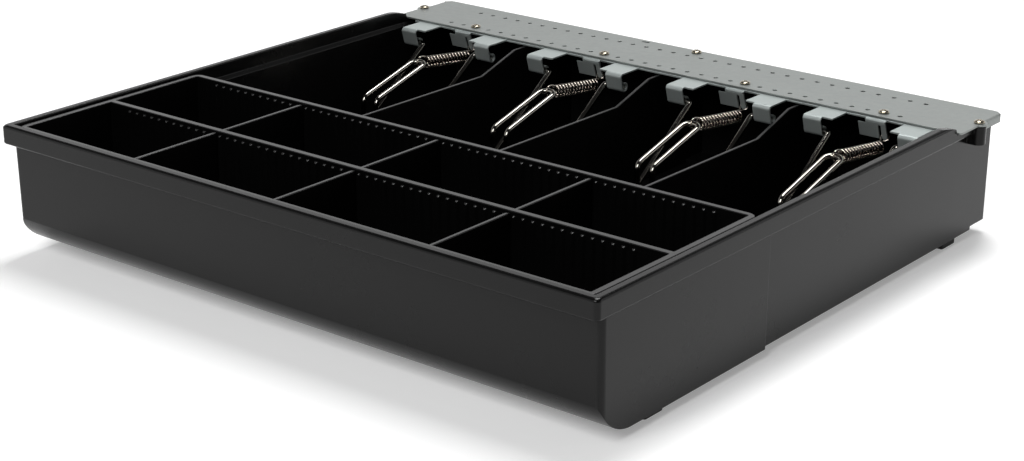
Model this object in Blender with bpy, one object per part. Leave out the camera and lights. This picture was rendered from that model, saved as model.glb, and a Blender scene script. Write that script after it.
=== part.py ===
"""Cash register tray: a moulded tray with a lift-out coin insert and four sprung note clips.

Metres, +Z up, the front towards -Y. The origin is on the surface that the tray stands on,
under the middle of its outer box.
"""

import math

import bmesh
import bpy
import numpy as np
from mathutils import Vector

MM = 0.001

# Clearances
GAP = 0.3 * MM
COIN_TRAY_PLAY = 1.9 * MM
SCOOP_PLAY = 1.0 * MM
DIVIDER_PLAY = 0.4 * MM
SEAM = 0.6 * MM
PLATE_BACK_PLAY = 1.05 * MM

# Helper lengths
OVERLAP = 2.0 * MM
LEAST_CORNER = 1.0 * MM
LEAST_RADIUS = 0.5 * MM

# Tray body
TRAY_WIDTH = 394.4 * MM
TRAY_DEPTH = 369.3 * MM
TRAY_HEIGHT = 75.0 * MM
WALL = 2.3 * MM
FLOOR = 2.5 * MM
WALL_DRAFT = 0.6 * MM
FRONT_RADIUS = 25.0 * MM
CORNER_RADIUS = 6.0 * MM
BACK_CORNER_RADIUS = 3.0 * MM
BACK_STEP_DEPTH = 17.0 * MM
BACK_STEP_RISE = 2.0 * MM
SKIRT_REACH = 4.4 * MM
SKIRT_HEIGHT = 10.7 * MM
SKIRT_ROUNDING = 1.85 * MM
RIM_WIDTH = 5.0 * MM
CREASE_DROP = 8.0 * MM
SHOULDER_LENGTH = 17.6 * MM
SHOULDER_DROP = 3.0 * MM
NOTE_DIVIDER = 2.0 * MM
NOTE_DIVIDER_HEIGHT = 52.4 * MM
NOTE_DIVIDER_FRONT_GAP = 3.5 * MM
NOTE_DIVIDER_SHIFT = 4.7 * MM
NOTE_DIVIDER_BEND = 38.0 * MM
NOTE_DIVIDER_RAMP = 27.0 * MM
LUG_RADIUS = 4.0 * MM
LUG_HEIGHT = 10.4 * MM

# Feet
FOOT_SIDE = 14.5 * MM
FOOT_HEIGHT = 3.5 * MM
FOOT_ROUNDING = 1.2 * MM
FOOT_SIDE_INSET = 2.0 * MM
FOOT_FRONT_INSET = 42.0 * MM
FOOT_BACK_INSET = 27.6 * MM

# Coin tray
COIN_WALL = 1.8 * MM
COIN_RIM_WIDTH = 3.5 * MM
COIN_RIM_THICKNESS = 3.0 * MM
COIN_RIM_DROP = 1.3 * MM
COIN_TRAY_DEPTH = 126.9 * MM
COIN_MIDDLE_WALL = 3.6 * MM
COIN_FRONT_ROW = 58.4 * MM
COIN_CORNER_RADIUS = 3.5 * MM
VALLEY_WIDTH = 4.0 * MM
DIVIDER_THICKNESS = 2.2 * MM
DIVIDER_DROP = 1.0 * MM
CUP_SHIFT = 4.6 * MM
CUP_TEETH = 17
TOOTH_PITCH = 5.84 * MM
TOOTH_BASE = 3.4 * MM
TOOTH_HEIGHT = 1.1 * MM
TOOTH_DROP = 2.2 * MM
FRONT_TOOTH_DROP = 0.6 * MM
TOOTH_MARGIN = 15.0 * MM

# Cover plate
SHEET = 1.0 * MM
PLATE_OVERHANG = 2.3 * MM
PLATE_DEPTH = 50.0 * MM
PLATE_DROP = 5.0 * MM
PLATE_BEND = 1.6 * MM
PLATE_FRONT_RADIUS = 1.5 * MM
PLATE_CHAMFER = 5.0 * MM
BACK_FLANGE = 5.0 * MM
SIDE_FLANGE = 4.5 * MM
SIDE_FLANGE_LENGTH = 16.5 * MM
EAR_RADIUS = 4.5 * MM
EAR_INSET = 1.5 * MM
EAR_BACK_INSET = 27.05 * MM
HOLE_PITCH = 10.0 * MM
HOLE_DIAMETER = 2.8 * MM
ROW_MARGIN = 39.0 * MM
ROW_SHIFT = 1.2 * MM
BACK_ROW_INSET = 14.0 * MM
FRONT_ROW_INSET = 6.75 * MM
PLATE_SLOT_LENGTH = 5.5 * MM
PLATE_SLOT_WIDTH = 2.0 * MM
PLATE_SLOT_X = 38.0 * MM
PLATE_SLOT_INSET = 5.0 * MM
BACK_SCREW_INSET = 6.0 * MM

# Screws
SCREW_DIAMETER = 3.0 * MM
SCREW_HEAD_DIAMETER = 6.0 * MM
SCREW_HEAD_HEIGHT = 1.5 * MM
SCREW_HEAD_EDGE = 0.6 * MM
SCREW_HEAD_SHOULDER_RADIUS = 2.46 * MM
SCREW_HEAD_SHOULDER = 1.2 * MM
SCREW_HEAD_FLAT_RADIUS = 1.2 * MM
BRACKET_SCREW_LENGTH = 5.0 * MM
TRAY_SCREW_LENGTH = 8.0 * MM

# Clip bracket
STRIP_INSET = 7.8 * MM
STRIP_DEPTH = 18.0 * MM
STRIP_SETBACK = 1.0 * MM
CLIP_SHIFTS = [-4.3 * MM, -4.1 * MM, -2.2 * MM, -0.8 * MM]
TAB_INNER = 23.75 * MM
TAB_WIDTH = 11.2 * MM
TAB_REACH = 17.9 * MM
TAB_BEND = 2.2 * MM
TAB_LEAN = 16
WING_INNER = 17.8 * MM
EYE_DROP = 8.8 * MM
EYE_WRAP = 266
HOOK_TAB_LEFT = 10.4 * MM
HOOK_TAB_RIGHT = 6.8 * MM
HOOK_NECK = 12.4 * MM
HOOK_TAB_HEIGHT = 11.7 * MM
HOOK_SHOULDER_DROP = 3.3 * MM
HOOK_SLOT_HEIGHT = 8.2 * MM
HOOK_BEND = 1.6 * MM
HOOK_LEAN = 19
FINGER_WIDTH = 3.2 * MM
FINGER_EXTRA = 0.4 * MM

# Note clips
CLIP_WIRE = 3.0 * MM
CLIP_HALF_WIDTH = 20.5 * MM
CLIP_PIN_END = 33.5 * MM
CLIP_REACH = 73.5 * MM
CLIP_RAIL_HALF_GAP = 5.0 * MM
CLIP_RAIL_HEIGHT = 36.7 * MM
CLIP_RAIL_LENGTH = 46.65 * MM
CLIP_RAIL_RISE = 15.3
CLIP_BEND = 3.2 * MM
CLIP_PIN_BEND = 2.2 * MM
CLIP_TOP_BEND = 5.0 * MM

# Clip springs
SPRING_WIRE = 1.0 * MM
SPRING_DIAMETER = 7.8 * MM
SPRING_CURLS = 17
SPRING_FRONT_REACH = 8.4 * MM
SPRING_FRONT_DROP = 1.6 * MM
SPRING_FRONT_SHIFT = 0.5 * MM
SPRING_BACK_REACH = 2.2 * MM
SPRING_BACK_DROP = 5.2 * MM
SPRING_BACK_SHIFT = 1.2 * MM
FRONT_LOOP_RADIUS = 3.4 * MM
FRONT_LOOP_REACH = 1.1 * MM
LOOP_SEAT_HEIGHT = 1.0 * MM
LOOP_PULL = 2.5 * MM
FRONT_LOOP_START = -40
LOOP_SWEEP = 230

# Roundness
CORNER_SEGMENTS = 5
SCOOP_SEGMENTS = 8
TROUGH_SEGMENTS = 4
INSERT_SEGMENTS = 3
FOOT_SEGMENTS = 2
HOLE_SIDES = 6
SCREW_SIDES = 8
BEND_STEPS = 3
EYE_SEGMENTS = 7
LUG_SEGMENTS = 5
EAR_SEGMENTS = 6
LOOP_STEPS = 6
ROUND_END_STEPS = 8
CURL_POINTS = 8
SMOOTH_ANGLE = math.radians(32)
FLAT_ANGLE = math.radians(0.3)

# Places that follow from the sizes
FRONT = -TRAY_DEPTH / 2
BACK = TRAY_DEPTH / 2
HALF_WIDTH = TRAY_WIDTH / 2
BASE_Z = FOOT_HEIGHT
FLOOR_Z = BASE_Z + FLOOR
RIM_Z = TRAY_HEIGHT
SKIRT_Z = RIM_Z - SKIRT_HEIGHT
CREASE_Z = RIM_Z - CREASE_DROP
WALL_X = HALF_WIDTH - SKIRT_REACH
WALL_FRONT = FRONT + SKIRT_REACH
WALL_BACK = BACK - SHEET - PLATE_BACK_PLAY
PLATE_WIDTH = TRAY_WIDTH + 2 * PLATE_OVERHANG
PLATE_FRONT = BACK - PLATE_DEPTH
PLATE_TOP = RIM_Z - PLATE_DROP
PLATE_BOTTOM = PLATE_TOP - SHEET
SEAT_Z = PLATE_BOTTOM - GAP
EAR_X = PLATE_WIDTH / 2 - EAR_INSET
EAR_Y = BACK - EAR_BACK_INSET
BACK_SCREW_Y = BACK - BACK_SCREW_INSET
STRIP_TOP = PLATE_BOTTOM - GAP
STRIP_BOTTOM = STRIP_TOP - SHEET
STRIP_FRONT = PLATE_FRONT - STRIP_SETBACK
STRIP_END = WALL_X - STRIP_INSET
EYE_INNER = CLIP_WIRE / 2 + GAP
EYE_OUTER = EYE_INNER + SHEET
TAB_FRONT = STRIP_FRONT - TAB_REACH
EYE_Z = STRIP_TOP - EYE_DROP
EYE_SHIFT = TAB_BEND - EYE_OUTER + (TAB_BEND - EYE_DROP) * math.sin(math.radians(TAB_LEAN))
EYE_Y = TAB_FRONT + TAB_BEND - EYE_SHIFT / math.cos(math.radians(TAB_LEAN))
SCREW_HOLE = SCREW_DIAMETER / 2 + GAP
BACK_ROW_Y = BACK - BACK_ROW_INSET
FRONT_ROW_Y = PLATE_FRONT + FRONT_ROW_INSET
HOLE_COUNT = 1 + int((PLATE_WIDTH - 2 * ROW_MARGIN) / HOLE_PITCH + 0.5)
ROW_START = -ROW_SHIFT - (HOLE_COUNT - 1) / 2 * HOLE_PITCH
STATION_HOLES = [2 + math.ceil((HOLE_COUNT - 4) * k / 3) for k in range(4)]
STATIONS = [ROW_START + HOLE_PITCH * hole for hole in STATION_HOLES]
CLIP_XS = [station + shift for station, shift in zip(STATIONS, CLIP_SHIFTS)]
HOOK_THICKNESS = SHEET / math.cos(math.radians(HOOK_LEAN))
FINGER_OFFSET = HOOK_TAB_RIGHT - FINGER_WIDTH / 2
BACK_LOOP_RADIUS = math.hypot(FINGER_WIDTH, HOOK_THICKNESS) / 2 + GAP + SPRING_WIRE / 2

COIN_BASE_Z = FLOOR_Z + GAP
COIN_RIM_Z = RIM_Z - COIN_RIM_DROP
COIN_HALF_WIDTH = WALL_X - WALL - COIN_TRAY_PLAY
COIN_OVERHANG = COIN_RIM_WIDTH - COIN_WALL
COIN_FRONT = WALL_FRONT + WALL + GAP
COIN_BACK = COIN_FRONT + COIN_TRAY_DEPTH
MIDDLE_WALL_FRONT = COIN_FRONT + COIN_WALL + COIN_FRONT_ROW
MIDDLE_WALL_BACK = MIDDLE_WALL_FRONT + COIN_MIDDLE_WALL
TROUGH_RADIUS = FRONT_RADIUS - WALL - COIN_WALL + SCOOP_PLAY
TROUGH_Z = COIN_BASE_Z + COIN_WALL
ROWS = {
    "front": (COIN_FRONT + COIN_WALL, MIDDLE_WALL_FRONT),
    "back": (MIDDLE_WALL_BACK, COIN_BACK - COIN_WALL),
}
CUP_WIDTH = CUP_TEETH * TOOTH_PITCH
DIVIDER_XS = {"left": -CUP_SHIFT - CUP_WIDTH, "centre": -CUP_SHIFT, "right": CUP_WIDTH - CUP_SHIFT}


def clear_scene():
    for obj in list(bpy.data.objects):
        bpy.data.objects.remove(obj, do_unlink=True)


def finish(name, colour, roughness, metallic):
    """A material with one colour (linear RGB), roughness and metallic value."""
    material = bpy.data.materials.new(name)
    material.use_nodes = True
    shader = material.node_tree.nodes["Principled BSDF"]
    shader.inputs["Base Color"].default_value = (*colour, 1.0)
    shader.inputs["Roughness"].default_value = roughness
    shader.inputs["Metallic"].default_value = metallic
    material.diffuse_color = (*colour, 1.0)
    return material


def add_object(name, mesh, material):
    """Links a finished bmesh as an object whose faces point out, smooth except at its edges."""
    bmesh.ops.recalc_face_normals(mesh, faces=mesh.faces)
    data = bpy.data.meshes.new(name)
    mesh.to_mesh(data)
    mesh.free()
    data.shade_smooth()
    data.set_sharp_from_angle(angle=SMOOTH_ANGLE)
    obj = bpy.data.objects.new(name, data)
    bpy.context.scene.collection.objects.link(obj)
    if material:
        data.materials.append(material)
    return obj


def arc(centre, radius, start, end, segments=CORNER_SEGMENTS):
    """Points of a circular arc, angles in degrees, both ends included."""
    angles = [math.radians(start + (end - start) * i / segments) for i in range(segments + 1)]
    return [(centre[0] + radius * math.cos(a), centre[1] + radius * math.sin(a)) for a in angles]


def rounded_rectangle(half_width, front, back, front_radius, back_radius, segments=CORNER_SEGMENTS):
    """Plan outline, counter-clockwise from the front left corner."""
    left, right = -half_width, half_width
    return (
        arc((left + front_radius, front + front_radius), front_radius, 180, 270, segments)
        + arc((right - front_radius, front + front_radius), front_radius, 270, 360, segments)
        + arc((right - back_radius, back - back_radius), back_radius, 0, 90, segments)
        + arc((left + back_radius, back - back_radius), back_radius, 90, 180, segments)
    )


def loft(rings):
    """Closed bmesh through rings of as many points each, from one end to the other."""
    mesh = bmesh.new()
    loops = [[mesh.verts.new(point) for point in ring] for ring in rings]
    for lower, upper in zip(loops, loops[1:]):
        for i, corner in enumerate(lower):
            j = (i + 1) % len(lower)
            mesh.faces.new((corner, lower[j], upper[j], upper[i]))
    mesh.faces.new(reversed(loops[0]))
    mesh.faces.new(loops[-1])
    return mesh


def prism(outline, axis, start, end):
    """Closed bmesh: an outline in the other two axes' plane, drawn along one axis."""
    place = {
        "X": lambda a, b, along: (along, a, b),
        "Y": lambda a, b, along: (a, along, b),
        "Z": lambda a, b, along: (a, b, along),
    }[axis]
    return loft([[place(a, b, along) for a, b in outline] for along in (start, end)])


def box(x0, x1, y0, y1, z0, z1):
    return prism([(x0, y0), (x1, y0), (x1, y1), (x0, y1)], "Z", z0, z1)


def merged(meshes):
    """One bmesh that holds several separate closed shapes."""
    whole = bmesh.new()
    for mesh in meshes:
        part = bpy.data.meshes.new("part")
        bmesh.ops.recalc_face_normals(mesh, faces=mesh.faces)
        mesh.to_mesh(part)
        mesh.free()
        whole.from_mesh(part)
        bpy.data.meshes.remove(part)
    return whole


def combine(target, mesh, operation):
    """Adds a live Boolean with a hidden helper shape: DIFFERENCE, UNION or INTERSECT."""
    helper = add_object(f"{target.name}_{operation.lower()}_{len(target.modifiers)}", mesh, None)
    helper.hide_render = True
    helper.display_type = "WIRE"
    modifier = target.modifiers.new(helper.name, "BOOLEAN")
    modifier.object = helper
    modifier.operation = operation
    return helper


def carry(child, parent):
    """Parents an unturned object to another and keeps its place."""
    child.parent = parent
    child.location = child.location - parent.location


def cylinder(centre, radius, z0, z1, sides=HOLE_SIDES):
    """Closed upright cylinder with flats towards the axes."""
    turn = 180 / sides
    return prism(arc(centre, radius, turn, turn + 360 - 360 / sides, sides - 1), "Z", z0, z1)


def side_profile(front, back, base, top, radius):
    """Side view (y, z) of the tray's hollow or outside: scooped front, stepped back."""
    step = back - BACK_STEP_DEPTH
    return [
        *arc((front + radius, base + radius), radius, 180, 270, SCOOP_SEGMENTS),
        (step, base),
        (step, base + BACK_STEP_RISE),
        (back, base + BACK_STEP_RISE),
        (back, top),
        (front, top),
    ]


def drafted_block(inset, base, top):
    """The block inside the tray's walls, or outside them at inset 0, narrower at its base."""
    rings = []
    for z, draft in ((base, WALL_DRAFT), (top, 0.0)):
        shift = inset + draft
        radius = max(CORNER_RADIUS - inset, LEAST_CORNER)
        back_radius = max(BACK_CORNER_RADIUS - inset, LEAST_RADIUS)
        outline = rounded_rectangle(
            WALL_X - shift, WALL_FRONT + shift, WALL_BACK - inset, radius, back_radius
        )
        rings.append([(x, y, z) for x, y in outline])
    return loft(rings)


def skirt_shape(rings, back, radius):
    """Closed shape in the skirt's outline from (height, inset) pairs, bottom to top."""
    points = []
    for z, inset in rings:
        outline = rounded_rectangle(HALF_WIDTH - inset, FRONT + inset, back, radius, LEAST_RADIUS)
        points.append([(x, y, z) for x, y in outline])
    return loft(points)


def skirt_block():
    """The block that the skirt band fills, with its top edge rounded in."""
    rings = [(SKIRT_Z, 0.0), (RIM_Z - SKIRT_ROUNDING, 0.0)]
    for angle in (30, 60, 90):
        turn = math.radians(angle)
        rings.append((RIM_Z - SKIRT_ROUNDING * (1 - math.sin(turn)), SKIRT_ROUNDING * (1 - math.cos(turn))))
    return skirt_shape(rings, EAR_Y, CORNER_RADIUS + LEAST_RADIUS)


def rim_hollow():
    """The hollow above the crease inside the walls, where it widens to the rim's inner edge."""
    rings = [
        (SKIRT_Z, SKIRT_REACH + WALL + WALL_DRAFT),
        (CREASE_Z, RIM_WIDTH),
        (RIM_Z - LEAST_RADIUS, RIM_WIDTH),
        (RIM_Z + LEAST_RADIUS, RIM_WIDTH - 2 * LEAST_RADIUS),
    ]
    return skirt_shape(rings, EAR_Y - RIM_WIDTH, LEAST_CORNER)


def shoulder_profile():
    """Side view of what is cut away above the rim's shoulder and the plate's seat."""
    end = PLATE_FRONT - GAP - MM
    points = []
    for i in range(CORNER_SEGMENTS + 1):
        part = i / CORNER_SEGMENTS
        points.append((end - SHOULDER_LENGTH * (1 - part), RIM_Z - SHOULDER_DROP * part**2))
    points.append((PLATE_FRONT - GAP, SEAT_Z))
    clear = 10 * MM
    points += [(BACK + clear, SEAT_Z), (BACK + clear, RIM_Z + clear)]
    points.append((end - SHOULDER_LENGTH, RIM_Z + clear))
    return points


def note_divider_xs():
    return [(a + b) / 2 - NOTE_DIVIDER_SHIFT for a, b in zip(STATIONS, STATIONS[1:])]


def note_dividers():
    """Upright ribs between the note bays: low in front, raised towards the plate."""
    front = COIN_BACK + COIN_OVERHANG + NOTE_DIVIDER_FRONT_GAP
    low = FLOOR_Z + NOTE_DIVIDER_HEIGHT
    high = STRIP_BOTTOM - SEAM
    bend = PLATE_FRONT - NOTE_DIVIDER_BEND
    outline = [
        (front, FLOOR_Z - FLOOR / 2),
        (WALL_BACK - WALL / 2, FLOOR_Z - FLOOR / 2 + BACK_STEP_RISE),
        (WALL_BACK - WALL / 2, high),
        (bend + NOTE_DIVIDER_RAMP, high),
        (bend, low),
        (front, low),
    ]
    half = NOTE_DIVIDER / 2
    return merged([prism(outline, "X", x - half, x + half) for x in note_divider_xs()])


def lugs():
    """Screw lugs: one at each end of the skirt and one on the back wall, all under the plate."""
    base = SEAT_Z - LUG_HEIGHT
    shapes = []
    root = WALL_X - WALL / 2
    for side in (-1, 1):
        outline = arc((EAR_X, EAR_Y), LUG_RADIUS, -90, 90, LUG_SEGMENTS)
        outline += [(root, EAR_Y + LUG_RADIUS), (root, EAR_Y - LUG_RADIUS)]
        shapes.append(prism([(side * x, y) for x, y in outline], "Z", base, SEAT_Z))
    outline = arc((0, BACK_SCREW_Y), LUG_RADIUS, 180, 360, LUG_SEGMENTS)
    back = WALL_BACK - WALL / 2
    outline += [(LUG_RADIUS, back), (-LUG_RADIUS, back)]
    shapes.append(prism(outline, "Z", base, SEAT_Z))
    return merged(shapes)


def screw_places():
    """Plan places of the screws: under-plate bracket, plate ends, back wall."""
    bracket = [(x, FRONT_ROW_Y) for x in STATIONS]
    ends = [(-EAR_X, EAR_Y), (EAR_X, EAR_Y)]
    return bracket, ends, [(0.0, BACK_SCREW_Y)]


def tray_body(plastic):
    over = RIM_Z + MM
    body = add_object("tray_body", drafted_block(0, BASE_Z, RIM_Z), plastic)
    outside = side_profile(WALL_FRONT - MM, WALL_BACK + MM, BASE_Z, over, FRONT_RADIUS)
    combine(body, prism(outside, "X", -HALF_WIDTH, HALF_WIDTH), "INTERSECT")
    combine(body, skirt_block(), "UNION")
    hollow = combine(body, drafted_block(WALL, FLOOR_Z, over), "DIFFERENCE")
    inside = side_profile(WALL_FRONT + WALL, WALL_BACK - WALL, FLOOR_Z, over + MM, FRONT_RADIUS - WALL)
    combine(hollow, prism(inside, "X", -HALF_WIDTH, HALF_WIDTH), "INTERSECT")
    combine(body, rim_hollow(), "DIFFERENCE")
    combine(body, note_dividers(), "UNION")
    combine(body, prism(shoulder_profile(), "X", -2 * HALF_WIDTH, 2 * HALF_WIDTH), "DIFFERENCE")
    combine(body, lugs(), "UNION")
    _, ends, back = screw_places()
    depth = TRAY_SCREW_LENGTH
    holes = [cylinder(place, SCREW_HOLE, PLATE_TOP - depth, over) for place in ends + back]
    combine(body, merged(holes), "DIFFERENCE")
    return body


def feet(rubber):
    """Four soft square feet under the floor."""
    half = FOOT_SIDE / 2
    x = WALL_X - WALL_DRAFT - FOOT_SIDE_INSET - half
    ys = {"front": WALL_FRONT + FOOT_FRONT_INSET + half, "back": WALL_BACK - FOOT_BACK_INSET - half}
    for row, y in ys.items():
        for side, sign in (("left", -1), ("right", 1)):
            outline = rounded_rectangle(half, -half, half, FOOT_ROUNDING, FOOT_ROUNDING, FOOT_SEGMENTS)
            top = FOOT_HEIGHT - GAP
            rings = ((0.0, FOOT_ROUNDING / 2), (FOOT_ROUNDING / 2, 0.0), (top, 0.0))
            mesh = loft(
                [
                    [(px * (1 - inset / half), py * (1 - inset / half), z) for px, py in outline]
                    for z, inset in rings
                ]
            )
            foot = add_object(f"foot_{row}_{side}", mesh, rubber)
            foot.location = (sign * x, y, 0.0)


def trough_outline(front, back, base, top, radius):
    """Side view of one round-bottomed trough with leaning walls, or of a plate that fits in it."""
    return [
        *arc((front + WALL_DRAFT + radius, base + radius), radius, 180, 270, TROUGH_SEGMENTS),
        *arc((back - WALL_DRAFT - radius, base + radius), radius, 270, 360, TROUGH_SEGMENTS),
        (back, top),
        (front, top),
    ]


def toothed_wall(wall, facing, top, drop, rise):
    """Side view of one toothed wall from its top down, where it stands proud by a rise."""
    low = TROUGH_Z + TROUGH_RADIUS
    crown = COIN_RIM_Z - drop
    at_crown = wall + facing * WALL_DRAFT * (top - crown) / (top - low)
    at_low = wall + facing * WALL_DRAFT
    return [
        (wall, top),
        (at_crown, crown),
        (at_crown + facing * rise, crown),
        (at_low + facing * rise, low),
    ]


def toothed_hollow(front, back, top):
    """One trough's hollow, whose long walls have a groove for each tooth that stands on them."""
    inner = COIN_HALF_WIDTH - COIN_WALL
    reach = inner - TOOTH_MARGIN
    first = math.ceil((CUP_SHIFT - reach) / TOOTH_PITCH - 0.5)
    last = math.floor((CUP_SHIFT + reach) / TOOTH_PITCH - 0.5)
    places = [(-inner, 0.0)]
    for i in range(first, last + 1):
        x = (i + 0.5) * TOOTH_PITCH - CUP_SHIFT
        places += [(x - TOOTH_BASE / 2, 0.0), (x, TOOTH_HEIGHT), (x + TOOTH_BASE / 2, 0.0)]
    places.append((inner, 0.0))
    plain = trough_outline(front, back, TROUGH_Z, top, TROUGH_RADIUS)
    bottom = plain[1 : 2 * TROUGH_SEGMENTS + 1]
    front_drop = FRONT_TOOTH_DROP if front < MIDDLE_WALL_FRONT else TOOTH_DROP
    rings = []
    for x, rise in places:
        down = toothed_wall(front, 1, top, front_drop, rise)
        up = toothed_wall(back, -1, top, TOOTH_DROP, rise)[::-1]
        rings.append([(x, y, z) for y, z in down + bottom + up])
    mesh = loft(rings)
    bmesh.ops.remove_doubles(mesh, verts=mesh.verts, dist=GAP / 100)
    bmesh.ops.dissolve_limit(mesh, angle_limit=FLAT_ANGLE, verts=mesh.verts, edges=mesh.edges)
    return mesh


def coin_tray_outline():
    """Side view of the insert's outside: two rounded bottoms with a valley between them."""
    radius = TROUGH_RADIUS + COIN_WALL
    low = COIN_BASE_Z + radius
    middle = (MIDDLE_WALL_FRONT + MIDDLE_WALL_BACK) / 2
    valley = VALLEY_WIDTH / 2
    front_wall = MIDDLE_WALL_FRONT + COIN_WALL
    back_wall = MIDDLE_WALL_BACK - COIN_WALL
    turn_front = math.degrees(math.acos((middle - valley - (front_wall - radius)) / radius))
    turn_back = math.degrees(math.acos((back_wall + radius - (middle + valley)) / radius))
    return [
        *arc((COIN_FRONT + WALL_DRAFT + radius, low), radius, 180, 270),
        *arc((front_wall - radius, low), radius, 270, 360 - turn_front, TROUGH_SEGMENTS),
        *arc((back_wall + radius, low), radius, 180 + turn_back, 270, TROUGH_SEGMENTS),
        *arc((COIN_BACK - WALL_DRAFT - radius, low), radius, 270, 360),
        (COIN_BACK, COIN_RIM_Z - COIN_RIM_THICKNESS / 2),
        (COIN_FRONT, COIN_RIM_Z - COIN_RIM_THICKNESS / 2),
    ]


def coin_tray(plastic):
    """The lift-out insert: two troughs, a rim that stands out all round."""
    over = COIN_RIM_Z + MM
    mesh = prism(coin_tray_outline(), "X", -COIN_HALF_WIDTH, COIN_HALF_WIDTH)
    tray = add_object("coin_tray", mesh, plastic)
    plan = rounded_rectangle(
        COIN_HALF_WIDTH, COIN_FRONT, COIN_BACK, COIN_CORNER_RADIUS, COIN_CORNER_RADIUS, INSERT_SEGMENTS
    )
    combine(tray, prism(plan, "Z", 0, over), "INTERSECT")
    rim_radius = COIN_CORNER_RADIUS + COIN_OVERHANG
    rim = rounded_rectangle(
        COIN_HALF_WIDTH + COIN_OVERHANG,
        COIN_FRONT - COIN_OVERHANG,
        COIN_BACK + COIN_OVERHANG,
        rim_radius,
        rim_radius,
        INSERT_SEGMENTS,
    )
    combine(tray, prism(rim, "Z", COIN_RIM_Z - COIN_RIM_THICKNESS, COIN_RIM_Z), "UNION")
    for front, back in ROWS.values():
        combine(tray, toothed_hollow(front, back, over), "DIFFERENCE")
    return tray


def coin_dividers(plastic, tray):
    """Plates that stand across the troughs between pairs of teeth."""
    half = DIVIDER_THICKNESS / 2
    for row, (front, back) in ROWS.items():
        for side, x in DIVIDER_XS.items():
            reach = (back - front) / 2 - DIVIDER_PLAY
            outline = trough_outline(
                -reach, reach, TROUGH_Z + GAP, COIN_RIM_Z - DIVIDER_DROP, TROUGH_RADIUS - DIVIDER_PLAY
            )
            mesh = prism(outline, "X", -half, half)
            divider = add_object(f"coin_divider_{row}_{side}", mesh, plastic)
            divider.location = (x, (front + back) / 2, 0.0)
            carry(divider, tray)


def sheet_strip(outer, inner):
    """Closed outline of a bent sheet from its outer and inner edges."""
    return outer + inner[::-1]


def bent_edge(reach, drop):
    """Section of a sheet bent down at its edge: the edge is at 0, the sheet's top at 0."""
    centre = (PLATE_BEND, -PLATE_BEND)
    outer = [(reach, 0.0), *arc(centre, PLATE_BEND, 90, 180, BEND_STEPS), (0.0, -drop)]
    inner = [(reach, -SHEET), *arc(centre, PLATE_BEND - SHEET, 90, 180, BEND_STEPS), (SHEET, -drop)]
    return sheet_strip(outer, inner)


def plate_outline():
    """Plan of the plate's flat: rounded front, ears at the sides, back corners cut off."""
    half = PLATE_WIDTH / 2
    back = BACK - PLATE_BEND
    rise = math.degrees(math.acos(EAR_INSET / EAR_RADIUS))
    ear = arc((EAR_X, EAR_Y), EAR_RADIUS, -rise, rise, EAR_SEGMENTS)
    corner = (half - PLATE_FRONT_RADIUS, PLATE_FRONT + PLATE_FRONT_RADIUS)
    front_corner = arc(corner, PLATE_FRONT_RADIUS, 270, 360, BEND_STEPS)
    flange = half - PLATE_BEND
    flange_start = EAR_Y + EAR_RADIUS + MM
    flange_end = flange_start + SIDE_FLANGE_LENGTH
    right = [
        *front_corner,
        *ear,
        (half, flange_start),
        (flange, flange_start),
        (flange, flange_end),
        (half, flange_end),
        (half - PLATE_CHAMFER + PLATE_BEND, back),
    ]
    return right + [(-x, y) for x, y in reversed(right)]


def cover_plate(steel):
    """Perforated sheet over the back of the tray, with bent back and side edges."""
    plate = add_object("cover_plate", prism(plate_outline(), "Z", PLATE_BOTTOM, PLATE_TOP), steel)
    half = PLATE_WIDTH / 2
    section = bent_edge(3 * PLATE_BEND, BACK_FLANGE)
    back = [(BACK - a, PLATE_TOP + b) for a, b in section]
    length = half - PLATE_CHAMFER
    combine(plate, prism(back, "X", -length, length), "UNION")
    section = bent_edge(3 * PLATE_BEND, SIDE_FLANGE)
    start = EAR_Y + EAR_RADIUS + MM
    end = start + SIDE_FLANGE_LENGTH
    sides = [
        prism([(side * (half - a), PLATE_TOP + b) for a, b in section], "Y", start, end) for side in (-1, 1)
    ]
    combine(plate, merged(sides), "UNION")
    combine(plate, merged(plate_holes()), "DIFFERENCE")
    return plate


def plate_holes():
    """Both rows of holes, with the screws' wider ones, and the slot near the back edge."""
    low, high = PLATE_BOTTOM - MM, PLATE_TOP + MM
    xs = [ROW_START + HOLE_PITCH * i for i in range(HOLE_COUNT)]
    screws = [place for places in screw_places() for place in places]
    plain = [(x, BACK_ROW_Y) for x in xs]
    plain += [(x, FRONT_ROW_Y) for i, x in enumerate(xs) if i not in STATION_HOLES]
    holes = [cylinder(place, HOLE_DIAMETER / 2, low, high) for place in plain]
    holes += [cylinder(place, SCREW_HOLE, low, high) for place in screws]
    end = PLATE_SLOT_WIDTH / 2
    reach = PLATE_SLOT_LENGTH / 2 - end
    y = BACK - PLATE_SLOT_INSET
    slot = arc((reach - PLATE_SLOT_X, y), end, -90, 90, BEND_STEPS)
    slot += arc((-reach - PLATE_SLOT_X, y), end, 90, 270, BEND_STEPS)
    holes.append(prism(slot, "Z", low, high))
    return holes


def tab_section():
    """Side view of a hinge tab: forward, down and curled back into an eye for the clip's pin."""
    bend = (TAB_FRONT + TAB_BEND, STRIP_TOP - TAB_BEND)
    eye = (EYE_Y, EYE_Z)
    start = STRIP_FRONT + OVERLAP
    turned = 180 + TAB_LEAN
    outer = [(start, STRIP_TOP), *arc(bend, TAB_BEND, 90, turned, BEND_STEPS)]
    outer += arc(eye, EYE_OUTER, turned, turned + EYE_WRAP, EYE_SEGMENTS)
    inner = [(start, STRIP_BOTTOM), *arc(bend, TAB_BEND - SHEET, 90, turned, BEND_STEPS)]
    inner += arc(eye, EYE_INNER, turned, turned + EYE_WRAP, EYE_SEGMENTS)
    return sheet_strip(outer, inner)


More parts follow.
